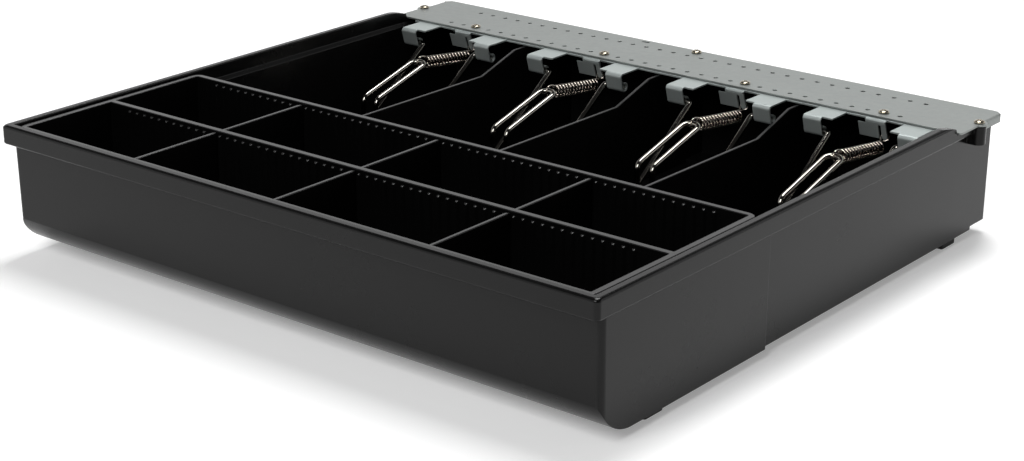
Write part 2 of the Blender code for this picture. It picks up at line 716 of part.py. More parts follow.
def hook_face(z):
    """Front (y) of the leaning hook tabs at a height."""
    turned = math.radians(HOOK_LEAN)
    start_y = STRIP_FRONT - SHEET + HOOK_BEND * (1 - math.cos(turned))
    start_z = STRIP_TOP - HOOK_BEND * (1 + math.sin(turned))
    return start_y + (start_z - z) * math.tan(turned)


def hook_tab(x):
    """A tab bent down from the strip's front edge, with a finger that the spring hooks over."""
    left = x - HOOK_TAB_LEFT
    right = x + HOOK_TAB_RIGHT
    finger = x + FINGER_OFFSET
    neck = right - HOOK_NECK
    shoulder = STRIP_TOP - HOOK_SHOULDER_DROP
    base = STRIP_TOP - HOOK_TAB_HEIGHT
    tip = base - FINGER_EXTRA
    slot_top = base + HOOK_SLOT_HEIGHT
    slot_left = finger - BACK_LOOP_RADIUS - SPRING_WIRE / 2 - GAP
    neck_top = STRIP_TOP - HOOK_BEND * (1 + math.sin(math.radians(HOOK_LEAN)))
    outline = [
        (left, base),
        (slot_left, base),
        (slot_left, slot_top),
        (right - FINGER_WIDTH, slot_top),
        *arc((finger, tip + FINGER_WIDTH / 2), FINGER_WIDTH / 2, 180, 360, BEND_STEPS + 1),
        (right, neck_top),
        (neck, neck_top),
        (neck, shoulder),
        (left, shoulder),
    ]
    front = [(px, hook_face(pz), pz) for px, pz in outline]
    back = [(px, py + HOOK_THICKNESS, pz) for px, py, pz in front]
    bend = (STRIP_FRONT - SHEET + HOOK_BEND, STRIP_TOP - HOOK_BEND)
    start = STRIP_FRONT + OVERLAP
    turned = 180 + HOOK_LEAN
    low = neck_top - GAP
    outer = [(start, STRIP_TOP), *arc(bend, HOOK_BEND, 90, turned, BEND_STEPS), (hook_face(low), low)]
    inner = [(start, STRIP_BOTTOM), *arc(bend, HOOK_BEND - SHEET, 90, turned, BEND_STEPS)]
    inner.append((hook_face(low) + HOOK_THICKNESS, low))
    return loft([front, back]), prism(sheet_strip(outer, inner), "X", neck, right)


def clip_bracket(steel):
    """Steel strip under the plate, with two hinge tabs and one hook tab for each clip."""
    mesh = box(-STRIP_END, STRIP_END, STRIP_FRONT, STRIP_FRONT + STRIP_DEPTH, STRIP_BOTTOM, STRIP_TOP)
    bracket = add_object("clip_bracket", mesh, steel)
    section = tab_section()
    tabs, wings = [], []
    wing_front = TAB_FRONT + TAB_BEND + GAP
    for x in CLIP_XS:
        for side in (-1, 1):
            start, end = sorted((x + side * TAB_INNER, x + side * (TAB_INNER + TAB_WIDTH)))
            tabs.append(prism(section, "X", start, end))
            start, end = sorted((x + side * WING_INNER, x + side * (TAB_INNER + OVERLAP)))
            wings.append(box(start, end, wing_front, STRIP_FRONT + OVERLAP, STRIP_BOTTOM, STRIP_TOP))
    combine(bracket, merged(tabs), "UNION")
    combine(bracket, merged(wings), "UNION")
    faces, necks = zip(*[hook_tab(x) for x in CLIP_XS])
    combine(bracket, merged(necks), "UNION")
    combine(bracket, merged(faces), "UNION")
    low, high = STRIP_BOTTOM - MM, STRIP_TOP + MM
    holes = [cylinder((x, FRONT_ROW_Y), SCREW_HOLE, low, high) for x in STATIONS]
    combine(bracket, merged(holes), "DIFFERENCE")
    return bracket


def lathe(profile, sides=SCREW_SIDES):
    """Closed turned shape from (radius, z) points, bottom to top, round the Z axis."""
    turns = [2 * math.pi * i / sides for i in range(sides)]
    return loft([[(r * math.cos(a), r * math.sin(a), z) for a in turns] for r, z in profile])


def screw(name, place, length, steel):
    """A pan-head screw with its head on the plate and its origin under the head."""
    shank, head = SCREW_DIAMETER / 2, SCREW_HEAD_DIAMETER / 2
    profile = [
        (shank, -length),
        (shank, 0.0),
        (head, 0.0),
        (head, SCREW_HEAD_EDGE),
        (SCREW_HEAD_SHOULDER_RADIUS, SCREW_HEAD_SHOULDER),
        (SCREW_HEAD_FLAT_RADIUS, SCREW_HEAD_HEIGHT),
    ]
    obj = add_object(name, lathe(profile), steel)
    obj.location = (*place, PLATE_TOP + GAP)


def screws(steel):
    bracket, ends, back = screw_places()
    for number, place in enumerate(bracket, 1):
        screw(f"bracket_screw_{number}", place, BRACKET_SCREW_LENGTH, steel)
    for side, place in zip(("left", "right"), ends):
        screw(f"end_screw_{side}", place, TRAY_SCREW_LENGTH, steel)
    screw("back_screw", back[0], TRAY_SCREW_LENGTH, steel)


def rounded_route(corners):
    """Points along straight runs with their corners rounded: (point, radius) pairs."""
    points = [Vector(corners[0][0])]
    for (before, _), (corner, radius), (after, _) in zip(corners, corners[1:], corners[2:]):
        corner = Vector(corner)
        one = (Vector(before) - corner).normalized()
        two = (Vector(after) - corner).normalized()
        half = one.angle(two) / 2
        centre = corner + (one + two).normalized() * radius / math.sin(half)
        start = corner + one * radius / math.tan(half) - centre
        end = corner + two * radius / math.tan(half) - centre
        turn = math.pi - 2 * half
        for i in range(BEND_STEPS + 1):
            part = i / BEND_STEPS
            mix = math.sin((1 - part) * turn) * start + math.sin(part * turn) * end
            points.append(centre + mix / math.sin(turn))
    points.append(Vector(corners[-1][0]))
    return points


def wire(name, points, diameter, sides_setting, metal):
    """A round wire along a list of points, with closed ends."""
    data = bpy.data.curves.new(name, "CURVE")
    data.dimensions = "3D"
    data.bevel_depth = diameter / 2
    data.bevel_resolution = sides_setting
    data.use_fill_caps = True
    spline = data.splines.new("POLY")
    spline.points.add(len(points) - 1)
    for target, point in zip(spline.points, points):
        target.co = (*point, 1.0)
    data.materials.append(metal)
    obj = bpy.data.objects.new(name, data)
    bpy.context.scene.collection.objects.link(obj)
    return obj


def clip_foot():
    """The clip's front lower corner line, from the pin's axis."""
    return -CLIP_REACH, FLOOR_Z + GAP + CLIP_WIRE / 2 - EYE_Z


def rail_tip():
    """Where the clip's rails meet in their round end, from the pin's axis."""
    foot_y, foot_z = clip_foot()
    rise = math.radians(CLIP_RAIL_RISE)
    top_z = foot_z + CLIP_RAIL_HEIGHT
    return foot_y + CLIP_RAIL_LENGTH, top_z + CLIP_RAIL_LENGTH * math.tan(rise)


def clip_route():
    """The clip's bent wire about its pins' axis: pin, leg, foot, riser, rail, then back."""
    foot_y, foot_z = clip_foot()
    tip_y, tip_z = rail_tip()
    top_z = foot_z + CLIP_RAIL_HEIGHT
    rise = math.radians(CLIP_RAIL_RISE)
    along = Vector((0, math.cos(rise), math.sin(rise)))
    half = CLIP_RAIL_HALF_GAP
    centre = Vector((0, tip_y, tip_z)) - along * half
    corners = [
        ((CLIP_PIN_END, 0, 0), 0),
        ((CLIP_HALF_WIDTH, 0, 0), CLIP_PIN_BEND),
        ((CLIP_HALF_WIDTH, foot_y, foot_z), CLIP_BEND),
        ((half, foot_y, foot_z), CLIP_BEND),
        ((half, foot_y, top_z), CLIP_TOP_BEND),
        (centre + Vector((half, 0, 0)), 0),
    ]
    right = rounded_route(corners)
    turn = [math.pi * i / ROUND_END_STEPS for i in range(1, ROUND_END_STEPS)]
    end = [centre + half * (math.sin(a) * along + math.cos(a) * Vector((1, 0, 0))) for a in turn]
    left = [Vector((-p.x, p.y, p.z)) for p in reversed(right)]
    return right + end + left


def spring_seats():
    """Front and back loop centres from the clip's middle, at the clip's round end and the finger."""
    tip_y, tip_z = rail_tip()
    away = Vector((0, SPRING_FRONT_REACH, -SPRING_FRONT_DROP)).normalized()
    front = Vector((0, EYE_Y + tip_y, EYE_Z + tip_z)) + FRONT_LOOP_REACH * away
    z = STRIP_TOP - HOOK_TAB_HEIGHT + LOOP_SEAT_HEIGHT
    back = Vector((FINGER_OFFSET, hook_face(z) + HOOK_THICKNESS / 2, z))
    return front, back


def bezier(start, start_pull, end_pull, end, steps=3):
    """Points inside a cubic curve, without its two ends."""
    points = []
    for i in range(1, steps):
        t = i / steps
        s = 1 - t
        points.append(s**3 * start + 3 * s * s * t * start_pull + 3 * s * t * t * end_pull + t**3 * end)
    return points


def spring_route(curl_points):
    """Centre line of one spring from the clip's middle: front loop, curls, back loop."""
    front, back = spring_seats()
    radius = (SPRING_DIAMETER - SPRING_WIRE) / 2
    tip_y, tip_z = rail_tip()
    tip = Vector((0, EYE_Y + tip_y, EYE_Z + tip_z))
    first = tip + Vector((SPRING_FRONT_SHIFT, SPRING_FRONT_REACH, -SPRING_FRONT_DROP))
    last = back - Vector((SPRING_BACK_SHIFT, SPRING_BACK_REACH, SPRING_BACK_DROP))
    along = (last - first).normalized()
    up = Vector((1, 0, 0)).cross(along).normalized()
    side = along.cross(up)
    curls = []
    for i in range(SPRING_CURLS * curl_points + 1):
        part = i / (SPRING_CURLS * curl_points)
        turn = 2 * math.pi * i / curl_points
        curls.append(first.lerp(last, part) + radius * (math.cos(turn) * up + math.sin(turn) * side))
    swept = [LOOP_SWEEP * i / LOOP_STEPS for i in range(LOOP_STEPS + 1)]
    angles = [math.radians(FRONT_LOOP_START - angle) for angle in swept]
    hook = [front + FRONT_LOOP_RADIUS * Vector((0, math.cos(a), math.sin(a))) for a in angles]
    pull = Vector((0, LOOP_PULL, 0))
    lead_in = bezier(hook[-1], hook[-1] + pull, curls[0] - side * LOOP_PULL, curls[0])
    angles = [math.radians(angle) for angle in swept]
    loop = [back + BACK_LOOP_RADIUS * Vector((math.cos(a), math.sin(a), 0)) for a in angles]
    lead_out = bezier(curls[-1], curls[-1] + side * LOOP_PULL / 2, loop[0] - pull, loop[0])
    return hook + lead_in + curls + lead_out + loop


def least_gap(points, diameter):
    """Least distance between a wire's surface and itself, away from its own next stretch."""
    line = np.array([tuple(point) for point in points])
    lengths = np.concatenate([[0.0], np.cumsum(np.linalg.norm(np.diff(line, axis=0), axis=1))])
    apart = np.linalg.norm(line[:, None] - line[None, :], axis=2)
    near = np.abs(lengths[:, None] - lengths[None, :]) < 4 * diameter
    apart[near] = np.inf
    return float(apart.min()) - diameter


def clips_and_springs(chrome, dark_chrome):
    route = clip_route()
    _, seat = spring_seats()
    curls = [point - seat for point in spring_route(CURL_POINTS)]
    for number, x in enumerate(CLIP_XS, 1):
        clip = wire(f"note_clip_{number}", route, CLIP_WIRE, 1, chrome)
        clip.location = (x, EYE_Y, EYE_Z)
        spring = wire(f"clip_spring_{number}", curls, SPRING_WIRE, 1, dark_chrome)
        spring.location = Vector((x, 0, 0)) + seat
    print(f"least gap of a spring to itself: {least_gap(spring_route(32), SPRING_WIRE) / MM:.2f} mm")


def main():
    clear_scene()
    plastic = finish("black_abs", (0.012, 0.012, 0.013), 0.38, 0.0)
    insert = finish("insert_abs", (0.010, 0.010, 0.011), 0.45, 0.0)
    rubber = finish("foot_rubber", (0.008, 0.008, 0.008), 0.8, 0.0)
    zinc = finish("zinc_plate", (0.42, 0.44, 0.44), 0.42, 1.0)
    bracket_steel = finish("bracket_steel", (0.50, 0.55, 0.56), 0.38, 1.0)
    chrome = finish("clip_chrome", (0.62, 0.60, 0.57), 0.12, 1.0)
    dark_chrome = finish("spring_steel", (0.40, 0.37, 0.34), 0.18, 1.0)
    screw_metal = finish("nickel_screw", (0.66, 0.60, 0.48), 0.25, 1.0)
    tray_body(plastic)
    feet(rubber)
    insert_tray = coin_tray(insert)
    coin_dividers(insert, insert_tray)
    cover_plate(zinc)
    clip_bracket(bracket_steel)
    clips_and_springs(chrome, dark_chrome)
    screws(screw_metal)


main()
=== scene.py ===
"""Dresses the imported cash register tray: shell, coin insert, plate, bracket, clips, springs, screws and feet."""

from functools import cache
from math import acos, ceil, cos, degrees, floor, hypot, pi, radians, sin, tan

import bmesh
import bpy
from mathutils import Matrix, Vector


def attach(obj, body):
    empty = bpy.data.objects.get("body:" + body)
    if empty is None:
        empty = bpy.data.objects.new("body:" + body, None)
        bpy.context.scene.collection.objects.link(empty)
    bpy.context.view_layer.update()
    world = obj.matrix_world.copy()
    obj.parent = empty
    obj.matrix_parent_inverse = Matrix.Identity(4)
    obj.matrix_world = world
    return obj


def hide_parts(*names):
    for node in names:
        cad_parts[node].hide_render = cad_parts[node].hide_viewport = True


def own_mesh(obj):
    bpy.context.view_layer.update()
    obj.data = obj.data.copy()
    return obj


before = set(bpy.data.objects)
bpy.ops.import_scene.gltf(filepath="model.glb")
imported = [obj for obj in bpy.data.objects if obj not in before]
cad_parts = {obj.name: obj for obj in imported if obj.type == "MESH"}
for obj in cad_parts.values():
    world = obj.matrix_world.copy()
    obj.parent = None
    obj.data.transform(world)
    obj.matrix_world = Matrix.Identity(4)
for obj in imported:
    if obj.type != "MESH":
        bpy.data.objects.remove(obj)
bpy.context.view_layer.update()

bl_info = {
    "name": "Cash Register Tray",
    "version": (1, 0, 0),
    "blender": (4, 5, 0),
    "location": "3D View > Sidebar > Cash Tray",
    "description": "Builds the detailed pieces of a cash register tray around its packed frame",
    "category": "Object",
}

MM = 0.001

# All sizes below are in millimetres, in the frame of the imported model.
GAP = 0.3
SHEET = 1.0
SHEET_EDGE = 0.14
PAST = 1.0  # how far a cutter reaches beyond what it cuts

# Tray shell
HALF_WIDTH = 197.2
FRONT = -184.65
BACK = 184.65
WALL_X = 192.8
FRONT_WALL_X = 195.5
REAR_WALL_X = 193.4
WALL_STEP_Y = -45.0
WALL_FRONT = -180.25
WALL_FACE = -178.95
WALL_BACK = 182.6
WALL = 2.3
WALL_DRAFT = 0.6
SHELL_EDGE = 0.3
LEAST_CORNER = 1.0
LEAST_RADIUS = 0.5
BASE_Z = 4.9
FLOOR_Z = 6.0
RIM_Z = 75.0
SKIRT_Z = 64.3
SKIRT_ROUNDING = 1.85
SKIRT_LIP = 1.3
SKIRT_CORNER = 2.6
CREASE_Z = 67.0
RIM_WIDTH = 5.0
FRONT_RADIUS = 25.0
CORNER_RADIUS = 6.0
WALL_CORNER = 3.2
BACK_CORNER_RADIUS = 3.0
BACK_STEP_DEPTH = 17.0
BACK_STEP_RISE = 2.0
SHOULDER_LENGTH = 17.6
SHOULDER_DROP = 3.0
SHOULDER_FLAT = 1.0
NOTE_DIVIDER_XS = (-95.9, 4.1, 99.1)
NOTE_DIVIDER = 2.0
NOTE_DIVIDER_ROOT = 1.25
NOTE_DIVIDER_FRONT = -45.55
NOTE_DIVIDER_TOP = 58.4
NOTE_DIVIDER_LOW = 57.5
NOTE_DIVIDER_RAMP = (92.0, 123.65)
NOTE_DIVIDER_BACK_TOP = 67.1
LUG_RADIUS = 4.0
LUG_BASE = 58.3
EAR_X = 198.0
EAR_Y = 157.6
BACK_SCREW_Y = 178.65
TRAY_SCREWS = ((-EAR_X, EAR_Y), (EAR_X, EAR_Y), (0.0, BACK_SCREW_Y))
SCREW_HOLE = 1.8
SCREW_HOLE_BASE = 62.0

# Feet
FOOT_SIDE = 14.5
FOOT_TOP = 4.6
FOOT_X = 182.95
FOOT_YS = (-131.0, 147.75)
FOOT_ROUNDING = 1.2

# Coin insert
COIN_HALF_WIDTH = 188.6
COIN_FRONT = -177.65
COIN_BACK = -50.75
COIN_WALL = 1.8
COIN_OVERHANG = 1.7
COIN_BASE_Z = 6.3
COIN_RIM_Z = 73.7
COIN_RIM_THICKNESS = 3.0
COIN_CORNER_RADIUS = 3.5
COIN_EDGE = 0.4
MIDDLE_WALL = (-117.45, -113.85)
TROUGH_RADIUS = 21.9
TROUGH_Z = 8.1
VALLEY_WIDTH = 4.0
CUP_SHIFT = 4.6
CUP_DIVIDER_XS = {"left": -103.88, "centre": -4.6, "right": 94.68}
CUP_DIVIDER = 2.2
CUP_DIVIDER_PLAY = 0.4
CUP_DIVIDER_TOP = 72.7
CUP_DIVIDER_EDGE = 0.45
TOOTH_PITCH = 5.84
TOOTH_BASE = 3.4
TOOTH_HEIGHT = 1.1
TOOTH_CHAMFER = 0.6
TOOTH_TOP_DROP = 2.2
FRONT_TOOTH_TOP_DROP = 0.6
TOOTH_MARGIN = 15.0
TOOTH_ROOT = 0.3
# Shares of a tooth: half its base and its height, its height at its top, and the quarter round it runs out in.
TOOTH_SECTION = ((0.9, 0.0), (0.5, 0.55), (0.16, 1.0))
TOOTH_TOP_SHARES = (0.5, 1.0, 1.0)
TOOTH_RUN_OUT = (0.0, 0.12, 0.24, 0.34)

# Cover plate
PLATE_HALF_WIDTH = 199.5
PLATE_FRONT = 134.65
PLATE_TOP = 70.0
PLATE_BEND = 1.6
PLATE_CHAMFER = 5.0
PLATE_FRONT_RADIUS = 1.5
BACK_FLANGE = 5.0
SIDE_FLANGE = 4.5
EAR_RADIUS = 4.5
FLANGE_START = EAR_Y + EAR_RADIUS + 1.0
FLANGE_END = FLANGE_START + 16.5
EAR_INSET = 1.5
FIRST_HOLE_X = -161.2
HOLE_PITCH = 10.0
HOLE_COUNT = 33
HOLE_DIAMETER = 2.8
FRONT_ROW_Y = 141.4
BACK_ROW_Y = 170.65
STATIONS = (-141.2, -41.2, 58.8, 148.8)
PLATE_SLOT = (-38.0, 179.65, 5.5, 2.0)
PLATE_SCREWS = (*((x, FRONT_ROW_Y) for x in STATIONS), *TRAY_SCREWS)

# Screws
SCREW_HEAD_RADIUS = 3.0
SCREW_HEAD_HEIGHT = 1.5
SCREW_HEAD_EDGE = 0.5
SCREW_HEAD_CROWN = 0.4
SCREW_SEAT_EDGE = (0.1, 0.12)
SCREW_SHANK_RADIUS = 1.5
SCREW_SHANK = 4.0
SCREW_POINT = 0.6  # chamfer at the shank's end
SCREW_RECESS = (0.38, 1.65)
SCREW_RECESS_DEPTH = 1.0
SCREW_RECESS_FLOOR = 0.55
SCREW_RECESS_MOUTH = 1.05
SCREW_SOFTNESS = 0.06

# Clip bracket
STRIP_HALF_LENGTH = 185.0
STRIP_TOP = 68.7
STRIP_FRONT = 133.65
STRIP_DEPTH = 18.0
TAB_ROOT = STRIP_FRONT + 2.0
TAB_FRONT = 115.75
TAB_BEND = 2.2
TAB_LEAN = 16.0
TAB_INNER = 23.75
TAB_OUTER = 34.95
WING_INNER = 17.8
WING_OUTER = TAB_OUTER - 4.0
EYE_OUTER = 2.8
EYE_INNER = 1.8
EYE_DROP = 8.8
EYE_END = 462.0
HOOK_LEFT = 10.4
HOOK_NECK_LEFT = 5.6
HOOK_RIGHT = 6.8
HOOK_LEAN = 19.0
HOOK_BEND = 1.6
HOOK_FRONT = 132.65
HOOK_START = 0.2
HOOK_LAP = 0.5
HOOK_SHOULDER_Z = 65.4
HOOK_BASE_Z = 57.0
FINGER_WIDTH = 3.2
FINGER_TIP_Z = 56.6
FINGER_SLOT_TOP = 65.2

# Note clips
CLIP_XS = (-145.5, -45.3, 56.6, 148.0)
CLIP_WIRE = 3.3
CLIP_SIDES = 24
CLIP_HALF_WIDTH = 20.5
CLIP_PIN_END = 33.5
CLIP_FOOT = (46.967, 7.8)
CLIP_RAIL_TOP = 44.5
CLIP_RAIL_HALF_GAP = 5.0
CLIP_TIP = (93.617, 57.262)
CLIP_BEND = 3.2
CLIP_PIN_BEND = 2.2
CLIP_TOP_BEND = 5.0

# Clip springs
SPRING_WIRE = 1.0
SPRING_SIDES = 12
SPRING_DIAMETER = 7.8
SPRING_CURLS = 14
SPRING_FIRST = (0.5, 98.0, 56.1)
SPRING_LAST = (4.0, 134.02, 52.8)
SPRING_LOOP = (5.2, 136.22, 58.0)
SPRING_LOOP_TILT = 48.4
SPRING_FRONT_HOOK = 3.25
SPRING_FRONT_REACH = 0.2
SPRING_HOOK_START = -40.0
SPRING_HOOK_SWEEP = 230.0
SPRING_PULL = 1.6

# Finishes: patterns in waves a metre, with a wave's width beside them. Relief is in millimetres.
ABS_FLOW = 14.0  # 71 mm, flow marks of the melt
ABS_IOR = 1.54
RUBBER_BLOOM = 180.0  # 5.6 mm, patches of bloom
RUBBER_RELIEF = 0.05
ZINC_CLOUD = 45.0  # 22 mm, clouds in the passivation film
ZINC_CRYSTALS = 420.0  # 2.4 mm, drawn far coarser than plated zinc's own, which wouldn't show
ZINC_CRYSTAL_SHARE = 0.35
ZINC_STRETCH = (0.12, 1.0, 1.0)
ZINC_RELIEF = 0.006
ZINC_METALLIC = 0.6
WIRE_MARKS = 900.0  # 1.1 mm, drawn coarser than a die's marks, which wouldn't show
WIRE_HAZE = 160.0  # 6.3 mm, haze along the wire
WIRE_ANGLE = 60  # degrees up to which a mesh is shaded smooth
FACET_ANGLE = 40

# Stage, in metres, watts and degrees
PAPER_REACH = 6.0
PAPER_FIBRES = 900.0  # 1.1 mm, drawn coarser than real fibres, which wouldn't show
PAPER_PALEST = "#f4f4f4"
PAPER_GLOW_SPAN = (0.5, 2.0)
BACKDROP = "#ffffff"
ROOM = "#2c2c2c"
ROOM_OVERHEAD = (0.43, 0.56)
ROOM_SIDE = (0.1, 0.8)
SOFT_BOXES = {
    "top_soft_box": ((-0.15, 0.55, 1.8), (0.6, 1.1), 29.0),
    "front_soft_box": ((0.3, -1.3, 1.2), (0.8, 0.8), 15.0),
}
CAMERA_PLACE = (0.6954, -0.8605, 0.4159)
CAMERA_TURN = 38.87
CAMERA_TILT = 20.25
CAMERA_LENS = 75.5


def linear(code):
    """The linear RGBA of a six-figure sRGB hex code."""
    values = [int(code[i : i + 2], 16) / 255 for i in (1, 3, 5)]
    return [v / 12.92 if v <= 0.04045 else ((v + 0.055) / 1.055) ** 2.4 for v in values] + [1.0]


def fill(node, inputs):
    """Sets or links a node's inputs, by name or place."""
    for key, value in inputs.items():
        if isinstance(value, bpy.types.NodeSocket):
            node.id_data.links.new(value, node.inputs[key])
        else:
            node.inputs[key].default_value = value


def add(tree, kind, inputs=None, **settings):
    """Adds a node, sets its settings, and sets or links its inputs."""
    made = tree.nodes.new(kind)
    for name, value in settings.items():
        setattr(made, name, value)
    fill(made, inputs or {})
    return made


# Materials


def start_material(name):
    """A material, its node tree, its shader and the object's own coordinates."""
    material = bpy.data.materials.new(name)
    material.use_nodes = True
    tree = material.node_tree
    place = add(tree, "ShaderNodeTexCoord").outputs["Object"]
    return material, tree, tree.nodes["Principled BSDF"], place


def spread(tree, factor, low, high):
    """A value from low to high as the factor goes from 0.3 to 0.7."""
    span = {"Value": factor, "From Min": 0.3, "From Max": 0.7, "To Min": low, "To Max": high}
    return add(tree, "ShaderNodeMapRange", span).outputs[0]


def two_tone(tree, factor, one, two):
    """A colour that varies between two hex codes."""
    inputs = {0: factor, 6: linear(one), 7: linear(two)}
    return add(tree, "ShaderNodeMix", inputs, data_type="RGBA").outputs[2]


def coat(tree, shader, tones, tone, roughness, rough, relief=None, depth=0.0):
    """A surface's colour, roughness and relief, each from a pattern. The depth is in millimetres."""
    fill(shader, {"Base Color": two_tone(tree, tone, *tones), "Roughness": spread(tree, rough, *roughness)})
    if relief is not None:
        bump = add(tree, "ShaderNodeBump", {"Height": relief, "Distance": depth * MM})
        fill(shader, {"Normal": bump.outputs[0]})


def moulded_abs(name, tones, roughness, grain, depth, gloss):
    """Injection-moulded ABS: black, with the fine spark-eroded grain that makes soft, broad highlights."""
    material, tree, shader, place = start_material(name)
    # Real grain is about 0.1 mm wide, less than a pixel of the photo's view, so it is drawn several times as coarse.
    pits = add(tree, "ShaderNodeTexNoise", {"Vector": place, "Scale": 1000 / grain, "Detail": 3.0})
    noise = {"Vector": place, "Scale": ABS_FLOW, "Detail": 4.0, "Roughness": 0.6}
    flow = add(tree, "ShaderNodeTexNoise", noise).outputs[0]
    coat(tree, shader, tones, flow, roughness, flow, pits.outputs[0], depth)
    fill(shader, {"IOR": ABS_IOR, "Specular IOR Level": gloss})
    return material


def moulded_rubber():
    """Moulded nitrile rubber: dull black with a dusty bloom that hides any highlight."""
    material, tree, shader, place = start_material("moulded_rubber")
    noise = {"Vector": place, "Scale": RUBBER_BLOOM, "Detail": 5.0}
    bloom = add(tree, "ShaderNodeTexNoise", noise).outputs[0]
    coat(tree, shader, ("#101010", "#1d1c1b"), bloom, (0.72, 0.92), bloom, bloom, RUBBER_RELIEF)
    return material


def zinc_plated_sheet(name, tones, roughness, grain):
    """Zinc-plated cold-rolled sheet: dull silver under a milky passivation film, with grain along the sheet."""
    material, tree, shader, place = start_material(name)
    stretch = add(tree, "ShaderNodeMapping", {"Vector": place, "Scale": ZINC_STRETCH}).outputs[0]
    rolling = add(tree, "ShaderNodeTexNoise", {"Vector": stretch, "Scale": 1000 / grain, "Detail": 3.0})
    noise = {"Vector": place, "Scale": ZINC_CLOUD, "Detail": 5.0, "Roughness": 0.65}
    cloud = add(tree, "ShaderNodeTexNoise", noise).outputs[0]
    crystal = add(tree, "ShaderNodeTexVoronoi", {"Vector": place, "Scale": ZINC_CRYSTALS})
    inputs = {0: ZINC_CRYSTAL_SHARE, 2: rolling.outputs[0], 3: crystal.outputs[1]}
    mixed = add(tree, "ShaderNodeMix", inputs).outputs[0]
    coat(tree, shader, tones, cloud, roughness, mixed, mixed, ZINC_RELIEF)
    fill(shader, {"Metallic": ZINC_METALLIC})
    return material


def drawn_wire(name, tones, roughness):
    """Bright-drawn and plated wire: mirror-like, with faint marks of the die that break its highlights."""
    material, tree, shader, place = start_material(name)
    marks = add(tree, "ShaderNodeTexNoise", {"Vector": place, "Scale": WIRE_MARKS, "Detail": 3.0})
    haze = add(tree, "ShaderNodeTexNoise", {"Vector": place, "Scale": WIRE_HAZE, "Detail": 2.0})
    coat(tree, shader, tones, haze.outputs[0], roughness, marks.outputs[0])
    fill(shader, {"Metallic": 1.0})
    return material


@cache
def materials():
    """Every finish of the tray, by name: each is made once."""
    colours = bpy.context.scene.cash_tray_colours
    tones = {name: getattr(colours, name).split() for name in CashTrayColours.__annotations__}
    return {
        "shell": moulded_abs("satin_black_abs", tones["shell_tones"], (0.21, 0.29), grain=0.5, depth=0.004, gloss=0.17),
        "insert": moulded_abs(
            "polished_black_abs", tones["insert_tones"], (0.17, 0.24), grain=0.8, depth=0.002, gloss=0.32
        ),
        "rubber": moulded_rubber(),
        "plate": zinc_plated_sheet("zinc_plated_cover", tones["plate_tones"], (0.42, 0.5), grain=0.8),
        "bracket": zinc_plated_sheet("zinc_plated_bracket", tones["bracket_tones"], (0.42, 0.5), grain=0.6),
        "clip": drawn_wire("nickel_plated_wire", tones["clip_tones"], (0.05, 0.1)),
        "spring": drawn_wire("spring_steel_wire", tones["spring_tones"], (0.05, 0.1)),
        "screw": drawn_wire("nickel_plated_screw", tones["screw_tones"], (0.18, 0.3)),
    }


# Shapes


def placed(name, data):
    """Puts data in the scene, as an object at the origin."""
    obj = bpy.data.objects.new(name, data)
    bpy.context.scene.collection.objects.link(obj)
    return obj


def remove(obj):
    bpy.data.objects.remove(obj, do_unlink=True)


def mesh_data(name, mesh):
    """A mesh from a bmesh, which is freed."""
    data = bpy.data.meshes.new(name)
    mesh.to_mesh(data)
    mesh.free()
    return data


def arc(centre, radius, start, end, segments):
    """Points of a circular arc, angles in degrees, both ends included."""
    angles = [radians(start + (end - start) * i / segments) for i in range(segments + 1)]
    return [(centre[0] + radius * cos(a), centre[1] + radius * sin(a)) for a in angles]


def rounded_rectangle(half_width, front, back, front_radius, back_radius, segments=14):
    """Plan outline, counter-clockwise from the front left corner."""
    front, back = front + front_radius, back - back_radius
    outline = []
    for side, y, radius, start in (
        (-1, front, front_radius, 180),
        (1, front, front_radius, 270),
        (1, back, back_radius, 0),
        (-1, back, back_radius, 90),
    ):
        outline += arc((side * (half_width - radius), y), radius, start, start + 90, segments)
    return outline


def loft(rings):
    """Closed bmesh through rings of as many points each, from one end to the other."""
    mesh = bmesh.new()
    loops = [[mesh.verts.new(point) for point in ring] for ring in rings]
    for lower, upper in zip(loops, loops[1:]):
        for i, corner in enumerate(lower):
            j = (i + 1) % len(lower)
            mesh.faces.new((corner, lower[j], upper[j], upper[i]))
    mesh.faces.new(reversed(loops[0]))
    mesh.faces.new(loops[-1])
    return mesh


def prism(outline, axis, start, end):
    """Closed bmesh: an outline in the other two axes' plane, drawn along one axis."""
    place = {
        "X": lambda a, b, along: (along, a, b),
        "Y": lambda a, b, along: (a, along, b),
        "Z": lambda a, b, along: (a, b, along),
    }[axis]
    return loft([[place(a, b, along) for a, b in outline] for along in (start, end)])


def box(x0, x1, y0, y1, z0, z1):
    return prism([(x0, y0), (x1, y0), (x1, y1), (x0, y1)], "Z", z0, z1)


def merged(meshes):
    """One bmesh that holds several separate closed shapes."""
    whole = bmesh.new()
    for mesh in meshes:
        bmesh.ops.recalc_face_normals(mesh, faces=mesh.faces)
        part = mesh_data("part", mesh)
        whole.from_mesh(part)
        bpy.data.meshes.remove(part)
    return whole


def cylinder(centre, radius, z0, z1, sides=32):
    return prism(arc(centre, radius, 0, 360 - 360 / sides, sides - 1), "Z", z0, z1)


def lathe(profile, sides=40):
    """Closed turned shape from (radius, z) points, bottom to top, round the Z axis."""
    turns = [2 * pi * i / sides for i in range(sides)]
    return loft([[(r * cos(a), r * sin(a), z) for a in turns] for r, z in profile])


def solid(name, mesh):
    """A closed bmesh in millimetres as an object in metres whose faces point out."""
    bmesh.ops.recalc_face_normals(mesh, faces=mesh.faces)
    bmesh.ops.scale(mesh, vec=(MM, MM, MM), verts=mesh.verts)
    data = mesh_data(name, mesh)
    data.shade_smooth()
    return placed(name, data)


